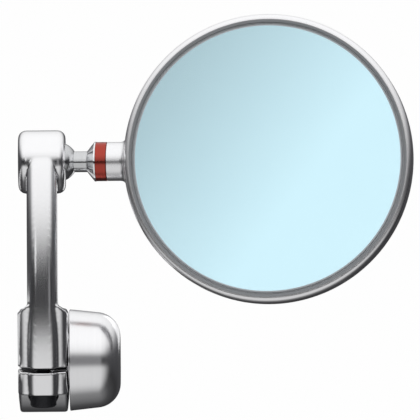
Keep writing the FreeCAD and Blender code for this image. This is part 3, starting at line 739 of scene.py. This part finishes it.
def curved_arm(sizes, rise):
    """The arm's bevelled section, spun along its arc from below the lug to the barrel."""
    half = sizes.arm_width / 2
    strip = sizes.strip_width / 2
    front = -sizes.strip_front
    back = front + sizes.arm_thickness
    centre = Vector((0, sizes.arc_radius - sizes.strip_front, sizes.arc_middle))
    bpy.ops.object.select_all(action="DESELECT")
    bpy.ops.mesh.primitive_plane_add(size=1, location=(0, (front + back) / 2, sizes.arc_middle))
    piece = bpy.context.object
    piece.name = "curved_arm"
    piece.scale = (sizes.arm_width, sizes.arm_thickness, 1)
    bpy.ops.object.transform_apply()
    bpy.ops.object.mode_set(mode="EDIT")
    for way in (1, -1):
        cut_off((way * strip, front, 0), (way * sizes.front_bevel, strip - half, 0), fill=False)
        cut_off((way * half, back - sizes.back_bevel, 0), (way, 1, 0), fill=False)
    bpy.ops.mesh.select_all(action="SELECT")
    bpy.ops.mesh.bevel(offset=sizes.edge_round, segments=ROUND_STEPS, affect="VERTICES")
    bpy.ops.object.mode_set(mode="OBJECT")

    inner_radius = sizes.arc_radius - sizes.arm_thickness
    drop = math.asin((sizes.arc_middle + sizes.lug_drop + OVERRUN) / inner_radius)
    lower = Matrix.Translation(centre) @ Matrix.Rotation(drop, 4, "X") @ Matrix.Translation(-centre)
    put(piece, lower)
    bpy.ops.object.mode_set(mode="EDIT")
    bpy.ops.mesh.select_all(action="SELECT")
    bpy.ops.mesh.spin(steps=SEGMENTS, angle=drop + rise, center=centre, axis=(1, 0, 0))
    cut_off((0, 0, -sizes.lug_drop), (0, 0, -1))
    return close_piece(piece)


def arm_web(sizes):
    """The concave web that carries the arm's back into the top of the ring."""
    half = sizes.arm_width / 2
    top, end = shoulder_levels(sizes)
    arm_back = -sizes.strip_front + sizes.arm_thickness
    upper = (arm_back, top + sizes.web_height)
    lower = (-sizes.lug_front + sizes.shoulder_length + sizes.web_height / 2, end - sizes.shoulder_slope)
    middle = ((upper[0] + lower[0]) / 2 - sizes.web_sag, (upper[1] + lower[1]) / 2 - sizes.web_sag)
    inside = arm_back - sizes.arm_thickness / 2
    foot = sizes.ring_radius - sizes.shoulder_height
    web = close_piece(block("web", (-half, inside, foot), (half, lower[0], upper[1])))
    centre, radius = circle_through(upper, middle, lower)
    hollow = rod("web_hollow", -half - OVERRUN, half + OVERRUN, radius, Matrix.Translation((0, *centre)))
    return combine(web, hollow, "DIFFERENCE")


def barrel(sizes):
    """The socket barrel with its rounded ends, about the ball's axis."""
    half = sizes.barrel_length / 2
    corner = sizes.barrel_round
    right = arc((half - corner, sizes.barrel_radius - corner), corner, 90, 0)
    left = [(-x, radius) for x, radius in reversed(right)]
    return put(turn_solid("barrel", left + right), Matrix.Translation((0, *BALL_CENTRE[1:])))


def clamp_tools(sizes):
    """The tools that split the clamp and make the screw's holes, in the clamp's frame."""
    half = sizes.ring_width / 2 + OVERRUN
    front = -sizes.strip_front - OVERRUN
    gap = sizes.slot_width / 2
    split = close_piece(block("split", (-half, front, -gap), (half, 0, gap)))
    upright = Matrix.Translation((0, -sizes.screw_offset, 0)) @ X_TO_Z
    tapped = rod("tapped", 0, sizes.screw_reach, sizes.screw_tap, upright)
    clear = rod("clear", -sizes.lug_drop, 0, sizes.screw_hole, upright)
    pocket_end = -sizes.lug_drop - sizes.ring_radius
    pocket = rod("pocket", pocket_end, -sizes.lug_drop, sizes.pocket_radius, upright)
    return [split, tapped, clear, pocket]


def ball_socket(sizes):
    """The tool that makes the ball's room: a bore with a round bottom, open at the mouth."""
    end = -BALL_CENTRE.x - sizes.barrel_length / 2 - OVERRUN
    radius = sizes.socket_radius
    dome = arc((0, 0), radius, 90, 0, 4 * ROUND_STEPS)[:-1] + [(radius, 0)]
    return put(turn_solid("socket", [(end, radius)] + dome), IN_BARREL)


class ArmOperator(bpy.types.Operator):
    """Builds the arm in one piece: ring, lug, arm and barrel, bored, split, socketed and polished"""

    bl_idname = "bar_mirror.arm"
    bl_label = "Arm"

    def execute(self, context):
        sizes = context.scene.mirror_arm
        arc_y = sizes.arc_radius - sizes.strip_front
        lean = Matrix.Rotation(sizes.clamp_tilt, 4, "X")
        arc_centre = lean @ Vector((0, arc_y, sizes.arc_middle))
        to_barrel = BALL_CENTRE - arc_centre
        rise = math.atan2(to_barrel.z, -to_barrel.y) + sizes.clamp_tilt

        piece = clamp_ring(sizes)
        piece.name = "polished_arm"
        for part in (clamp_lug(sizes), curved_arm(sizes, rise), arm_web(sizes)):
            combine(piece, part, "UNION")
        for tool in clamp_tools(sizes):
            combine(piece, tool, "DIFFERENCE")
        put(piece, lean)
        combine(piece, barrel(sizes), "UNION")
        bar_stop = sizes.bar_depth - sizes.ring_width / 2
        cap_bore = context.scene.mirror_cap.spigot_radius + context.scene.mirror_joint.shank_clearance
        bores = (rod("bar", -sizes.ring_width, bar_stop, sizes.bar_radius, IN_FRAME),
                 rod("cap_bore", 0, sizes.ring_width, cap_bore, IN_FRAME), ball_socket(sizes))
        for tool in bores:
            combine(piece, tool, "DIFFERENCE")
        apply_modifier(piece, "REMESH", mode="VOXEL", voxel_size=sizes.voxel)
        apply_modifier(piece, "SMOOTH", factor=0.5, iterations=sizes.polish)
        finish_piece(piece, "arm", "base",
                     satin_aluminium(sizes.bar_radius, sizes.ring_width / 2 - BORE_SHADE_MARGIN),
                     sharp=False)
        return {"FINISHED"}


class ClampScrewOperator(bpy.types.Operator):
    """Builds the socket head screw that closes the clamp"""

    bl_idname = "bar_mirror.clamp_screw"
    bl_label = "Clamp screw"

    def execute(self, context):
        sizes = context.scene.mirror_screws
        arm = context.scene.mirror_arm
        chamfer = sizes.head_chamfer
        height = sizes.head_height
        end = height + sizes.thread_length
        band = (2 * chamfer, height - chamfer)
        profile = [(0, sizes.head_radius - chamfer)]
        profile += [(x, sizes.head_radius) for x in (chamfer, *band, height)]
        profile += [(height, sizes.thread_radius)]
        profile += thread(height + sizes.pitch, end - sizes.pitch, sizes.thread_radius, sizes.pitch)
        profile += [(end - sizes.pitch, sizes.thread_radius - sizes.pitch / 2),
                    (end, sizes.thread_radius - sizes.pitch / 2)]
        piece = turn_with_socket("clamp_socket_screw", profile, sizes.key, sizes.key_depth)

        # Knurl: every second pair of facets round the head is sunk
        make_active(piece)
        bpy.ops.object.mode_set(mode="EDIT")
        bpy.ops.mesh.select_mode(type="FACE")
        bpy.ops.mesh.select_all(action="DESELECT")
        mesh = bmesh.from_edit_mesh(piece.data)
        for face in mesh.faces:
            middle = face.calc_center_median()
            facet = int((math.atan2(middle.z, middle.y) / math.tau + 1) * SEGMENTS)
            outside = math.hypot(middle.y, middle.z) > (sizes.thread_radius + sizes.head_radius) / 2
            face.select = outside and band[0] < middle.x < band[1] and facet // 2 % 2 == 0
        bmesh.update_edit_mesh(piece.data)
        bpy.ops.mesh.inset(thickness=sizes.knurl_depth / 3, depth=-sizes.knurl_depth)
        bpy.ops.mesh.select_mode(type="VERT")
        close_piece(piece)

        foot = Matrix.Translation((0, -arm.screw_offset, -arm.lug_drop - height))
        put(piece, Matrix.Rotation(arm.clamp_tilt, 4, "X") @ foot @ X_TO_Z)
        finish_piece(piece, "clamp_screw", "base", blackened_steel())
        return {"FINISHED"}


class CapOperator(bpy.types.Operator):
    """Builds the bar-end cap: spigot, short taper and rounded dome"""

    bl_idname = "bar_mirror.bar_end_cap"
    bl_label = "Bar-end cap"

    def execute(self, context):
        sizes = context.scene.mirror_cap
        end = sizes.start + sizes.length
        shoulder = sizes.radius - sizes.taper
        slope = math.degrees(math.atan2(sizes.taper, sizes.taper_length))
        edge = sizes.edge
        profile = [(sizes.spigot_end, sizes.spigot_radius - sizes.spigot_chamfer),
                   (sizes.spigot_end + sizes.spigot_chamfer, sizes.spigot_radius),
                   (sizes.start, sizes.spigot_radius)]
        profile += arc((sizes.start + edge, sizes.radius - edge), edge, 180, 90)
        profile += arc((end - sizes.corner, shoulder - sizes.corner), sizes.corner, 90 - slope, 0,
                       5 * ROUND_STEPS)
        piece = turn_solid("domed_bar_end_cap", profile)
        material = turned_aluminium("turned_aluminium_cap", IN_FRAME, roughness=(0.19, 0.26))
        finish_piece(piece, "bar_end_cap", "base", material)
        return {"FINISHED"}


class BallSeatOperator(bpy.types.Operator):
    """Builds the cup that presses on the ball from behind"""

    bl_idname = "bar_mirror.ball_seat"
    bl_label = "Ball seat"

    def execute(self, context):
        sizes = context.scene.mirror_joint
        socket = context.scene.mirror_arm.socket_radius
        back = -socket - sizes.seat_wall
        lip = math.degrees(math.acos(-sizes.seat_lip / socket))
        hollow = arc((0, 0), socket, lip, 180, 2 * ROUND_STEPS)[:-1] + [(-socket, 0)]
        profile = [(back, sizes.ball_radius), (-sizes.seat_lip, sizes.ball_radius)] + hollow
        piece = put(turn_solid("acetal_ball_seat", profile), IN_BARREL)
        finish_piece(piece, "rear_ball_seat", "seat", natural_acetal())
        return {"FINISHED"}


class DiscSpringsOperator(bpy.types.Operator):
    """Builds the two disc springs, set edge to edge"""

    bl_idname = "bar_mirror.disc_springs"
    bl_label = "Disc springs"

    def execute(self, context):
        sizes = context.scene.mirror_joint
        thickness = sizes.spring_thickness
        height = sizes.spring_cone + thickness
        washers = []
        for way, base in ((1, -sizes.spring_start), (-1, -sizes.spring_start - 2 * height)):
            profile = [(base, sizes.spring_hole),
                       (base - way * sizes.spring_cone, sizes.spring_radius),
                       (base - way * height, sizes.spring_radius),
                       (base - way * thickness, sizes.spring_hole)]
            washers.append(turn_ring("disc_spring_pair", profile))
        make_active(washers[0])
        washers[1].select_set(True)
        bpy.ops.object.join()
        piece = put(washers[0], IN_BARREL)
        finish_piece(piece, "disc_springs", "base", blackened_steel())
        return {"FINISHED"}


class PlugOperator(bpy.types.Operator):
    """Builds the threaded plug that closes the barrel, with its hexagon socket"""

    bl_idname = "bar_mirror.adjuster_plug"
    bl_label = "Adjuster plug"

    def execute(self, context):
        sizes = context.scene.mirror_joint
        pitch = context.scene.mirror_screws.grub_pitch
        start = -sizes.plug_start - sizes.plug_length
        end = -sizes.plug_start
        root = sizes.plug_radius - pitch / 2
        profile = [(start, root)] + thread(start + pitch / 4, end, sizes.plug_radius, pitch) + [(end, root)]
        piece = turn_with_socket("barrel_plug", profile, sizes.plug_key, sizes.plug_key_depth)
        put(piece, IN_BARREL)
        finish_piece(piece, "adjuster_plug", "base", blackened_steel())
        return {"FINISHED"}


def neck_start(sizes):
    """From the ball's centre to where the neck leaves the ball."""
    return math.sqrt(sizes.ball_radius ** 2 - sizes.neck_radius ** 2)


def cone_start(sizes):
    """From the ball's centre to the cone's small end."""
    return neck_start(sizes) + sizes.neck_length


def ring_start(sizes):
    """From the ball's centre to the red ring."""
    return cone_start(sizes) + sizes.cone_length + sizes.cone_land


def collar_start(sizes):
    """From the ball's centre to the head's collar."""
    return ring_start(sizes) + sizes.ring_width + sizes.swivel_gap


class BallStudOperator(bpy.types.Operator):
    """Builds the ball, its neck and its grooved shank"""

    bl_idname = "bar_mirror.ball_stud"
    bl_label = "Ball stud"

    def execute(self, context):
        sizes = context.scene.mirror_joint
        head = context.scene.mirror_head
        groove = collar_start(sizes) + head.collar_length / 2
        floor = sizes.shank_radius - sizes.groove_depth
        end = cone_start(sizes) + sizes.shank_length
        chamfer = sizes.groove_depth / 2
        neck_angle = math.degrees(math.asin(sizes.neck_radius / sizes.ball_radius))
        profile = [(end, sizes.shank_radius - chamfer), (end - chamfer, sizes.shank_radius),
                   (groove + sizes.groove_half, sizes.shank_radius), (groove + sizes.groove_half, floor),
                   (groove - sizes.groove_half, floor), (groove - sizes.groove_half, sizes.shank_radius),
                   (cone_start(sizes), sizes.shank_radius), (cone_start(sizes), sizes.neck_radius)]
        ball = arc((0, 0), sizes.ball_radius, neck_angle, 180, 5 * ROUND_STEPS)[:-1]
        piece = turn_solid("turned_ball_stud", profile + ball + [(-sizes.ball_radius, 0)])
        put(piece, ON_STEM)
        finish_piece(piece, "ball_stud", "stem", polished_steel())
        return {"FINISHED"}


class StemConeOperator(bpy.types.Operator):
    """Builds the silver cone between the neck and the red ring"""

    bl_idname = "bar_mirror.stem_cone"
    bl_label = "Stem cone"

    def execute(self, context):
        sizes = context.scene.mirror_joint
        hole = sizes.shank_radius + sizes.shank_clearance
        start = cone_start(sizes)
        cone_end = start + sizes.cone_length
        profile = [(start, hole), (start, sizes.neck_radius), (cone_end, sizes.cone_radius),
                   (ring_start(sizes), sizes.cone_radius), (ring_start(sizes), hole)]
        piece = put(turn_ring("turned_stem_cone", profile), ON_STEM)
        material = turned_aluminium("turned_aluminium_stem", ON_STEM, roughness=(0.1, 0.17))
        finish_piece(piece, "stem_cone", "stem", material)
        return {"FINISHED"}


class RedRingOperator(bpy.types.Operator):
    """Builds the red ring between the cone and the head"""

    bl_idname = "bar_mirror.red_ring"
    bl_label = "Red ring"

    def execute(self, context):
        sizes = context.scene.mirror_joint
        hole = sizes.shank_radius + sizes.shank_clearance
        start = ring_start(sizes)
        end = start + sizes.ring_width
        edge = sizes.ring_edge
        inner = sizes.ring_radius - edge
        profile = [(start, hole)] + arc((start + edge, inner), edge, 180, 90)
        profile += arc((end - edge, inner), edge, 90, 0) + [(end, hole)]
        piece = put(turn_ring("red_anodised_ring", profile), ON_STEM)
        finish_piece(piece, "red_ring", "stem", red_anodised())
        return {"FINISHED"}


def head_place(context):
    """The head's place: turned up about the stem."""
    return ON_STEM @ Matrix.Rotation(-context.scene.mirror_head.pitch, 4, "X")


def mirror_x(context):
    """From the ball's centre to the mirror's middle, along the stem."""
    head = context.scene.mirror_head
    return collar_start(context.scene.mirror_joint) + head.collar_length + head.flare_show + head.rim_radius


def mirror_axis(context):
    """The place of what is turned about the mirror's own axis, from front to back."""
    return head_place(context) @ Matrix.Translation((mirror_x(context), 0, 0)) @ X_TO_Y


def glass_levels(sizes):
    """Levels of the glass's front edge, its back and the ledge."""
    front = -sizes.rim_lead + sizes.glass_sink
    back = front + sizes.glass_thickness
    return front, back, back + sizes.tape_thickness


def dome_profile(centre, radius, edge_radius):
    """Points along a dome about the mirror's axis, from its edge to its pole."""
    edge = math.degrees(math.asin(edge_radius / radius))
    return arc((centre, 0), radius, edge, 0, 4 * ROUND_STEPS)[:-1] + [(centre + radius, 0)]


def bowl(sizes):
    """The head's bowl, one turned profile: inner dome, ledge, lip, wall, corner and outer dome."""
    front = -sizes.rim_lead
    ledge = glass_levels(sizes)[2]
    recess = sizes.rim_radius - sizes.lip_width
    cavity = recess - sizes.ledge_width
    corner_level = front + sizes.wall_depth
    corner_radius = sizes.rim_radius - sizes.back_corner
    drop = math.sqrt((sizes.back_dome - sizes.back_corner) ** 2 - corner_radius ** 2)
    dome_centre = corner_level - drop
    corner_end = math.degrees(math.atan2(corner_radius, drop))
    inner_dome = dome_profile(dome_centre, sizes.back_dome - sizes.shell_wall, cavity)
    inside = list(reversed(inner_dome[:-1]))
    lip = [(ledge, cavity), (ledge, recess), (front + sizes.lip_bevel, recess),
           (front, recess + sizes.lip_bevel)]
    lip += arc((front + sizes.lip_round, sizes.rim_radius - sizes.lip_round), sizes.lip_round, 180, 90)
    corner = arc((corner_level, corner_radius), sizes.back_corner, 90, corner_end, 2 * ROUND_STEPS)
    outside = dome_profile(dome_centre, sizes.back_dome,
                           sizes.back_dome * math.sin(math.radians(corner_end)))
    return turn_solid("turned_mirror_bowl", inside + lip + corner + outside[1:])


def collar(context):
    """The collar and its flare, along the stem, trimmed where the glass and the hollow are."""
    sizes = context.scene.mirror_head
    start = collar_start(context.scene.mirror_joint)
    end = start + sizes.collar_length
    boss = sizes.collar_radius + sizes.flare_radius
    recess = sizes.rim_radius - sizes.lip_width
    boss_end = mirror_x(context) - recess + sizes.ledge_width / 2
    profile = [(start, sizes.collar_radius - sizes.collar_edge),
               (start + sizes.collar_edge, sizes.collar_radius)]
    profile += arc((end, boss), sizes.flare_radius, -90, 0) + [(boss_end, boss)]
    piece = turn_solid("collar", profile)
    room = rod("glass_room", -sizes.rim_radius, glass_levels(sizes)[2], recess,
               Matrix.Translation((mirror_x(context), 0, 0)) @ X_TO_Y)
    return combine(piece, room, "DIFFERENCE")


class HousingOperator(bpy.types.Operator):
    """Builds the mirror's bowl with its collar, bored for the shank and the grub screw"""

    bl_idname = "bar_mirror.mirror_housing"
    bl_label = "Mirror housing"

    def execute(self, context):
        sizes = context.scene.mirror_head
        joint = context.scene.mirror_joint
        piece = put(bowl(sizes), Matrix.Translation((mirror_x(context), 0, 0)) @ X_TO_Y)
        combine(piece, collar(context), "UNION")
        bore_end = cone_start(joint) + joint.shank_length + joint.shank_end_gap
        bore = rod("bore", 0, bore_end, joint.shank_radius + joint.shank_clearance, IN_FRAME)
        grub_x = collar_start(joint) + sizes.collar_length / 2
        tapped = rod("tapped", 0, 2 * sizes.collar_radius, sizes.grub_radius,
                     Matrix.Translation((grub_x, 0, 0)) @ X_TO_Y)
        for tool in (bore, tapped):
            combine(piece, tool, "DIFFERENCE")
        put(piece, head_place(context))
        # Where the painted shade on the lip's bevel ends
        shaded_lip = sizes.rim_radius - sizes.lip_width + sizes.lip_shade_width
        material = rim_aluminium(mirror_axis(context), shaded_lip, -sizes.rim_lead / 2)
        finish_piece(piece, "mirror_housing", "head", material)
        return {"FINISHED"}


class GlassOperator(bpy.types.Operator):
    """Builds the convex blue mirror glass with its ground edge"""

    bl_idname = "bar_mirror.mirror_glass"
    bl_label = "Mirror glass"

    def execute(self, context):
        sizes = context.scene.mirror_head
        front, back, _ = glass_levels(sizes)
        radius = sizes.rim_radius - sizes.lip_width - sizes.seal_width
        edge = sizes.glass_edge
        rim = radius - edge
        centre = front + math.sqrt(sizes.glass_curve ** 2 - radius ** 2)
        bulge = [(2 * centre - x, r) for x, r in dome_profile(centre, sizes.glass_curve, rim)]
        profile = [(back, rim), (back - edge, radius), (front + edge, radius)]
        piece = turn_solid("blue_mirror_glass", profile + bulge)
        put(piece, mirror_axis(context))
        material = blue_mirror_glass(mirror_axis(context), radius - sizes.edge_shade_width)
        finish_piece(piece, "mirror_glass", "head", material)
        return {"FINISHED"}


class GlassRingsOperator(bpy.types.Operator):
    """Builds the grey seal round the glass and the foam tape behind it"""

    bl_idname = "bar_mirror.glass_rings"
    bl_label = "Glass seal and tape"

    def execute(self, context):
        sizes = context.scene.mirror_head
        front, back, ledge = glass_levels(sizes)
        recess = sizes.rim_radius - sizes.lip_width
        glass = recess - sizes.seal_width
        cavity = recess - sizes.ledge_width
        outer = recess - sizes.seal_clearance
        inner = glass + sizes.seal_clearance
        bead = (outer - inner) / 2
        seal_front = front + sizes.seal_sink
        crown = arc((seal_front + bead, inner + bead), bead, 270, 90)
        pieces = {
            "glass_seal": ("rubber_glass_seal", [(ledge, inner)] + crown + [(ledge, outer)]),
            "adhesive_ring": ("foam_tape_ring", [
                (ledge, cavity + sizes.tape_margin), (back, cavity + sizes.tape_margin),
                (back, glass - sizes.tape_margin), (ledge, glass - sizes.tape_margin)]),
        }
        for node, (name, profile) in pieces.items():
            piece = put(turn_ring(name, profile), mirror_axis(context))
            finish_piece(piece, node, "head", grey_rubber())
        return {"FINISHED"}


class GrubScrewOperator(bpy.types.Operator):
    """Builds the grub screw that holds the head on its shank"""

    bl_idname = "bar_mirror.head_grub_screw"
    bl_label = "Head grub screw"

    def execute(self, context):
        sizes = context.scene.mirror_screws
        joint = context.scene.mirror_joint
        top = sizes.grub_top
        shoulder = sizes.grub_floor + sizes.grub_tip_length
        radius = sizes.grub_thread_radius
        pitch = sizes.grub_pitch
        body = [(-x, r) for x, r in thread(-top + pitch / 4, -shoulder, radius, pitch)]
        profile = [(top, radius - pitch / 2)] + body + [(shoulder, radius - pitch / 2),
                                                        (shoulder, sizes.grub_tip_radius),
                                                        (sizes.grub_floor, sizes.grub_tip_radius)]
        piece = turn_with_socket("dog_point_grub_screw", profile, sizes.grub_key, -sizes.grub_key_depth)
        grub_x = collar_start(joint) + context.scene.mirror_head.collar_length / 2
        put(piece, head_place(context) @ Matrix.Translation((grub_x, 0, 0)) @ X_TO_Y)
        finish_piece(piece, "head_grub_screw", "head", blackened_steel())
        return {"FINISHED"}


def shade_ramp(tree, height, stops):
    """A ramp of greys by elevation: stops are degrees above the horizon and a shade."""
    ramp = add_node(tree, "ShaderNodeValToRGB", {"Fac": height})
    elements = ramp.color_ramp.elements
    while len(elements) < len(stops):
        elements.new(1.0)
    for element, (elevation, shade) in zip(elements, stops):
        element.position = (math.sin(math.radians(elevation)) + 1) / 2
        element.color = linear(shade)
    return ramp.outputs["Color"]


def towards(azimuth, elevation):
    """A direction by its angles in degrees: right of the camera and above the horizon."""
    across, up = math.radians(azimuth), math.radians(elevation)
    return Vector((math.sin(across) * math.cos(up), -math.cos(across) * math.cos(up), math.sin(up)))


def studio_card(tree, direction, middle, reach):
    """How far a direction lies inside a round card that fades at its edge."""
    inside = add_node(tree, "ShaderNodeVectorMath", {0: direction, 1: towards(*middle)},
                      operation="DOT_PRODUCT").outputs["Value"]
    full, faded = (math.cos(math.radians(degrees)) for degrees in reach)
    return add_node(tree, "ShaderNodeMapRange", {"Value": inside, "From Min": faded, "From Max": full},
                    interpolation_type="SMOOTHSTEP").outputs["Result"]


def studio_world(settings):
    """Soft studio light: a white tent over the camera, a dark horizon, and darker round the back."""
    world = bpy.data.worlds.new("soft_studio")
    bpy.context.scene.world = world
    world.use_nodes = True
    tree = world.node_tree
    tree.nodes.clear()
    direction = add_node(tree, "ShaderNodeTexCoord").outputs["Generated"]
    split = add_node(tree, "ShaderNodeSeparateXYZ", {"Vector": direction})
    height = add_node(tree, "ShaderNodeMapRange", {"Value": split.outputs["Z"], "From Min": -1})
    tent_shade = shade_ramp(tree, height.outputs["Result"], TENT_SHADES)
    back_shade = shade_ramp(tree, height.outputs["Result"], BACK_SHADES)

    # The tent stands over the camera and ends at either side of it
    level = add_node(tree, "ShaderNodeCombineXYZ", {"X": split.outputs["X"], "Y": split.outputs["Y"]})
    heading = add_node(tree, "ShaderNodeVectorMath", {0: level.outputs["Vector"]}, operation="NORMALIZE")
    studio = add_node(tree, "ShaderNodeMix", {"Factor": studio_card(tree, heading.outputs["Vector"], *TENT),
                                              "A": back_shade, "B": tent_shade}, data_type="RGBA")

    # A dim card lights what faces a little to the right
    sides = add_node(tree, "ShaderNodeMix", {"Factor": studio_card(tree, direction, *SIDE_CARD),
                                             "A": studio.outputs["Result"], "B": linear(SIDE_CARD_SHADE)},
                     data_type="RGBA", blend_type="LIGHTEN")

    # The glass faces a white card, which is a little darker at its upper left
    middle = towards(*GLASS_CARD[0])
    along = add_node(tree, "ShaderNodeVectorMath", {0: direction, 1: GLASS_CARD_SLOPE},
                     operation="DOT_PRODUCT")
    reach = math.sin(math.radians(GLASS_CARD[1][1]))
    halfway = middle.dot(GLASS_CARD_SLOPE)
    shade = add_node(tree, "ShaderNodeMapRange", {
        "Value": along.outputs["Value"], "From Min": halfway - reach, "From Max": halfway + reach / 4,
        "To Min": GLASS_CARD_SHADES[0], "To Max": GLASS_CARD_SHADES[1]})
    lit = add_node(tree, "ShaderNodeMix", {"Factor": studio_card(tree, direction, *GLASS_CARD),
                                           "A": sides.outputs["Result"], "B": shade.outputs["Result"]},
                   data_type="RGBA")
    background = add_node(tree, "ShaderNodeBackground", {"Color": lit.outputs["Result"],
                                                         "Strength": settings.strength})
    paper = add_node(tree, "ShaderNodeBackground", {"Color": settings.backdrop})
    path = add_node(tree, "ShaderNodeLightPath")
    seen = add_node(tree, "ShaderNodeMixShader", {0: path.outputs["Is Camera Ray"],
                                                  1: background.outputs[0], 2: paper.outputs[0]})
    add_node(tree, "ShaderNodeOutputWorld", {"Surface": seen.outputs[0]})


def studio_floor(settings):
    """A pale floor below the object, which no metal reflects."""
    low = CAD_BOX[0].z - settings.floor_drop
    bpy.ops.object.select_all(action="DESELECT")
    bpy.ops.mesh.primitive_circle_add(vertices=SEGMENTS, radius=settings.floor_size / 2, fill_type="NGON",
                                      location=(settings.middle_x, 0, low))
    floor = bpy.context.object
    floor.name = "pale_floor"
    bpy.ops.object.transform_apply()
    floor.visible_glossy = False

    def build(tree):
        coordinates = add_node(tree, "ShaderNodeTexCoord")
        noise = add_node(tree, "ShaderNodeTexNoise", {"Vector": coordinates.outputs["Object"],
                                                      "Scale": per_metre(40)})
        tint = add_node(tree, "ShaderNodeMix", {"Factor": noise.outputs["Fac"], "A": settings.floor,
                                                "B": settings.backdrop}, data_type="RGBA")
        return {"Base Color": tint.outputs["Result"]}
    floor.data.materials.append(surface("pale_matt_paper", {"Roughness": 0.9}, build))


def soft_boxes():
    """A soft box for the head's back and a low one for the lug's left corner, seen in the metal alone."""
    for name, (place, target, (width, height), power) in SOFT_BOXES.items():
        facing = (Vector(target) - Vector(place)).to_track_quat("-Z", "Y")
        bpy.ops.object.light_add(type="AREA", location=Vector(place) * MM, rotation=facing.to_euler())
        light = bpy.context.object
        light.name = name
        light.visible_camera = False
        light.visible_diffuse = False
        light.data.shape = "RECTANGLE"
        light.data.size = width * MM
        light.data.size_y = height * MM
        light.data.energy = power


class StageOperator(bpy.types.Operator):
    """Sets the floor, the light and the camera"""

    bl_idname = "bar_mirror.stage"
    bl_label = "Stage"

    def execute(self, context):
        settings = context.scene.mirror_stage
        context.scene.view_settings.view_transform = "Standard"
        studio_world(settings)
        studio_floor(settings)
        soft_boxes()
        bpy.ops.object.camera_add(location=(settings.middle_x, -settings.distance, settings.middle_z),
                                  rotation=(QUARTER_TURN, settings.roll, 0))
        camera = context.object
        camera.name = "photo_camera"
        camera.data.lens = camera.data.sensor_width * settings.distance / settings.view_width
        camera.data.dof.use_dof = False
        context.scene.camera = camera
        return {"FINISHED"}


class MirrorPanel(bpy.types.Panel):
    """The steps that build the mirror"""

    bl_idname = "VIEW3D_PT_bar_mirror"
    bl_label = "Bar-end mirror"
    bl_space_type = "VIEW_3D"
    bl_region_type = "UI"
    bl_category = "Mirror"

    def draw(self, context):
        for operator in OPERATORS:
            self.layout.operator(operator.bl_idname)


GROUPS = {"mirror_arm": ArmSizes, "mirror_cap": CapSizes, "mirror_joint": JointSizes,
          "mirror_head": HeadSizes, "mirror_screws": ScrewSizes, "mirror_finishes": Finishes,
          "mirror_stage": StageSettings}
OPERATORS = (ArmOperator, ClampScrewOperator, CapOperator, BallSeatOperator, DiscSpringsOperator,
             PlugOperator, BallStudOperator, StemConeOperator, RedRingOperator, HousingOperator,
             GlassOperator, GlassRingsOperator, GrubScrewOperator, StageOperator)
CLASSES = (*GROUPS.values(), *OPERATORS, MirrorPanel)


def register():
    for one in CLASSES:
        bpy.utils.register_class(one)
    for name, group in GROUPS.items():
        setattr(bpy.types.Scene, name, bpy.props.PointerProperty(type=group))


def unregister():
    for name in GROUPS:
        delattr(bpy.types.Scene, name)
    for one in reversed(CLASSES):
        bpy.utils.unregister_class(one)


def main():
    register()
    bpy.ops.bar_mirror.arm()
    bpy.ops.bar_mirror.clamp_screw()
    bpy.ops.bar_mirror.bar_end_cap()
    bpy.ops.bar_mirror.ball_seat()
    bpy.ops.bar_mirror.disc_springs()
    bpy.ops.bar_mirror.adjuster_plug()
    bpy.ops.bar_mirror.ball_stud()
    bpy.ops.bar_mirror.stem_cone()
    bpy.ops.bar_mirror.red_ring()
    bpy.ops.bar_mirror.mirror_housing()
    bpy.ops.bar_mirror.mirror_glass()
    bpy.ops.bar_mirror.glass_rings()
    bpy.ops.bar_mirror.head_grub_screw()
    bpy.ops.bar_mirror.stage()


if __name__ == "__main__":
    main()
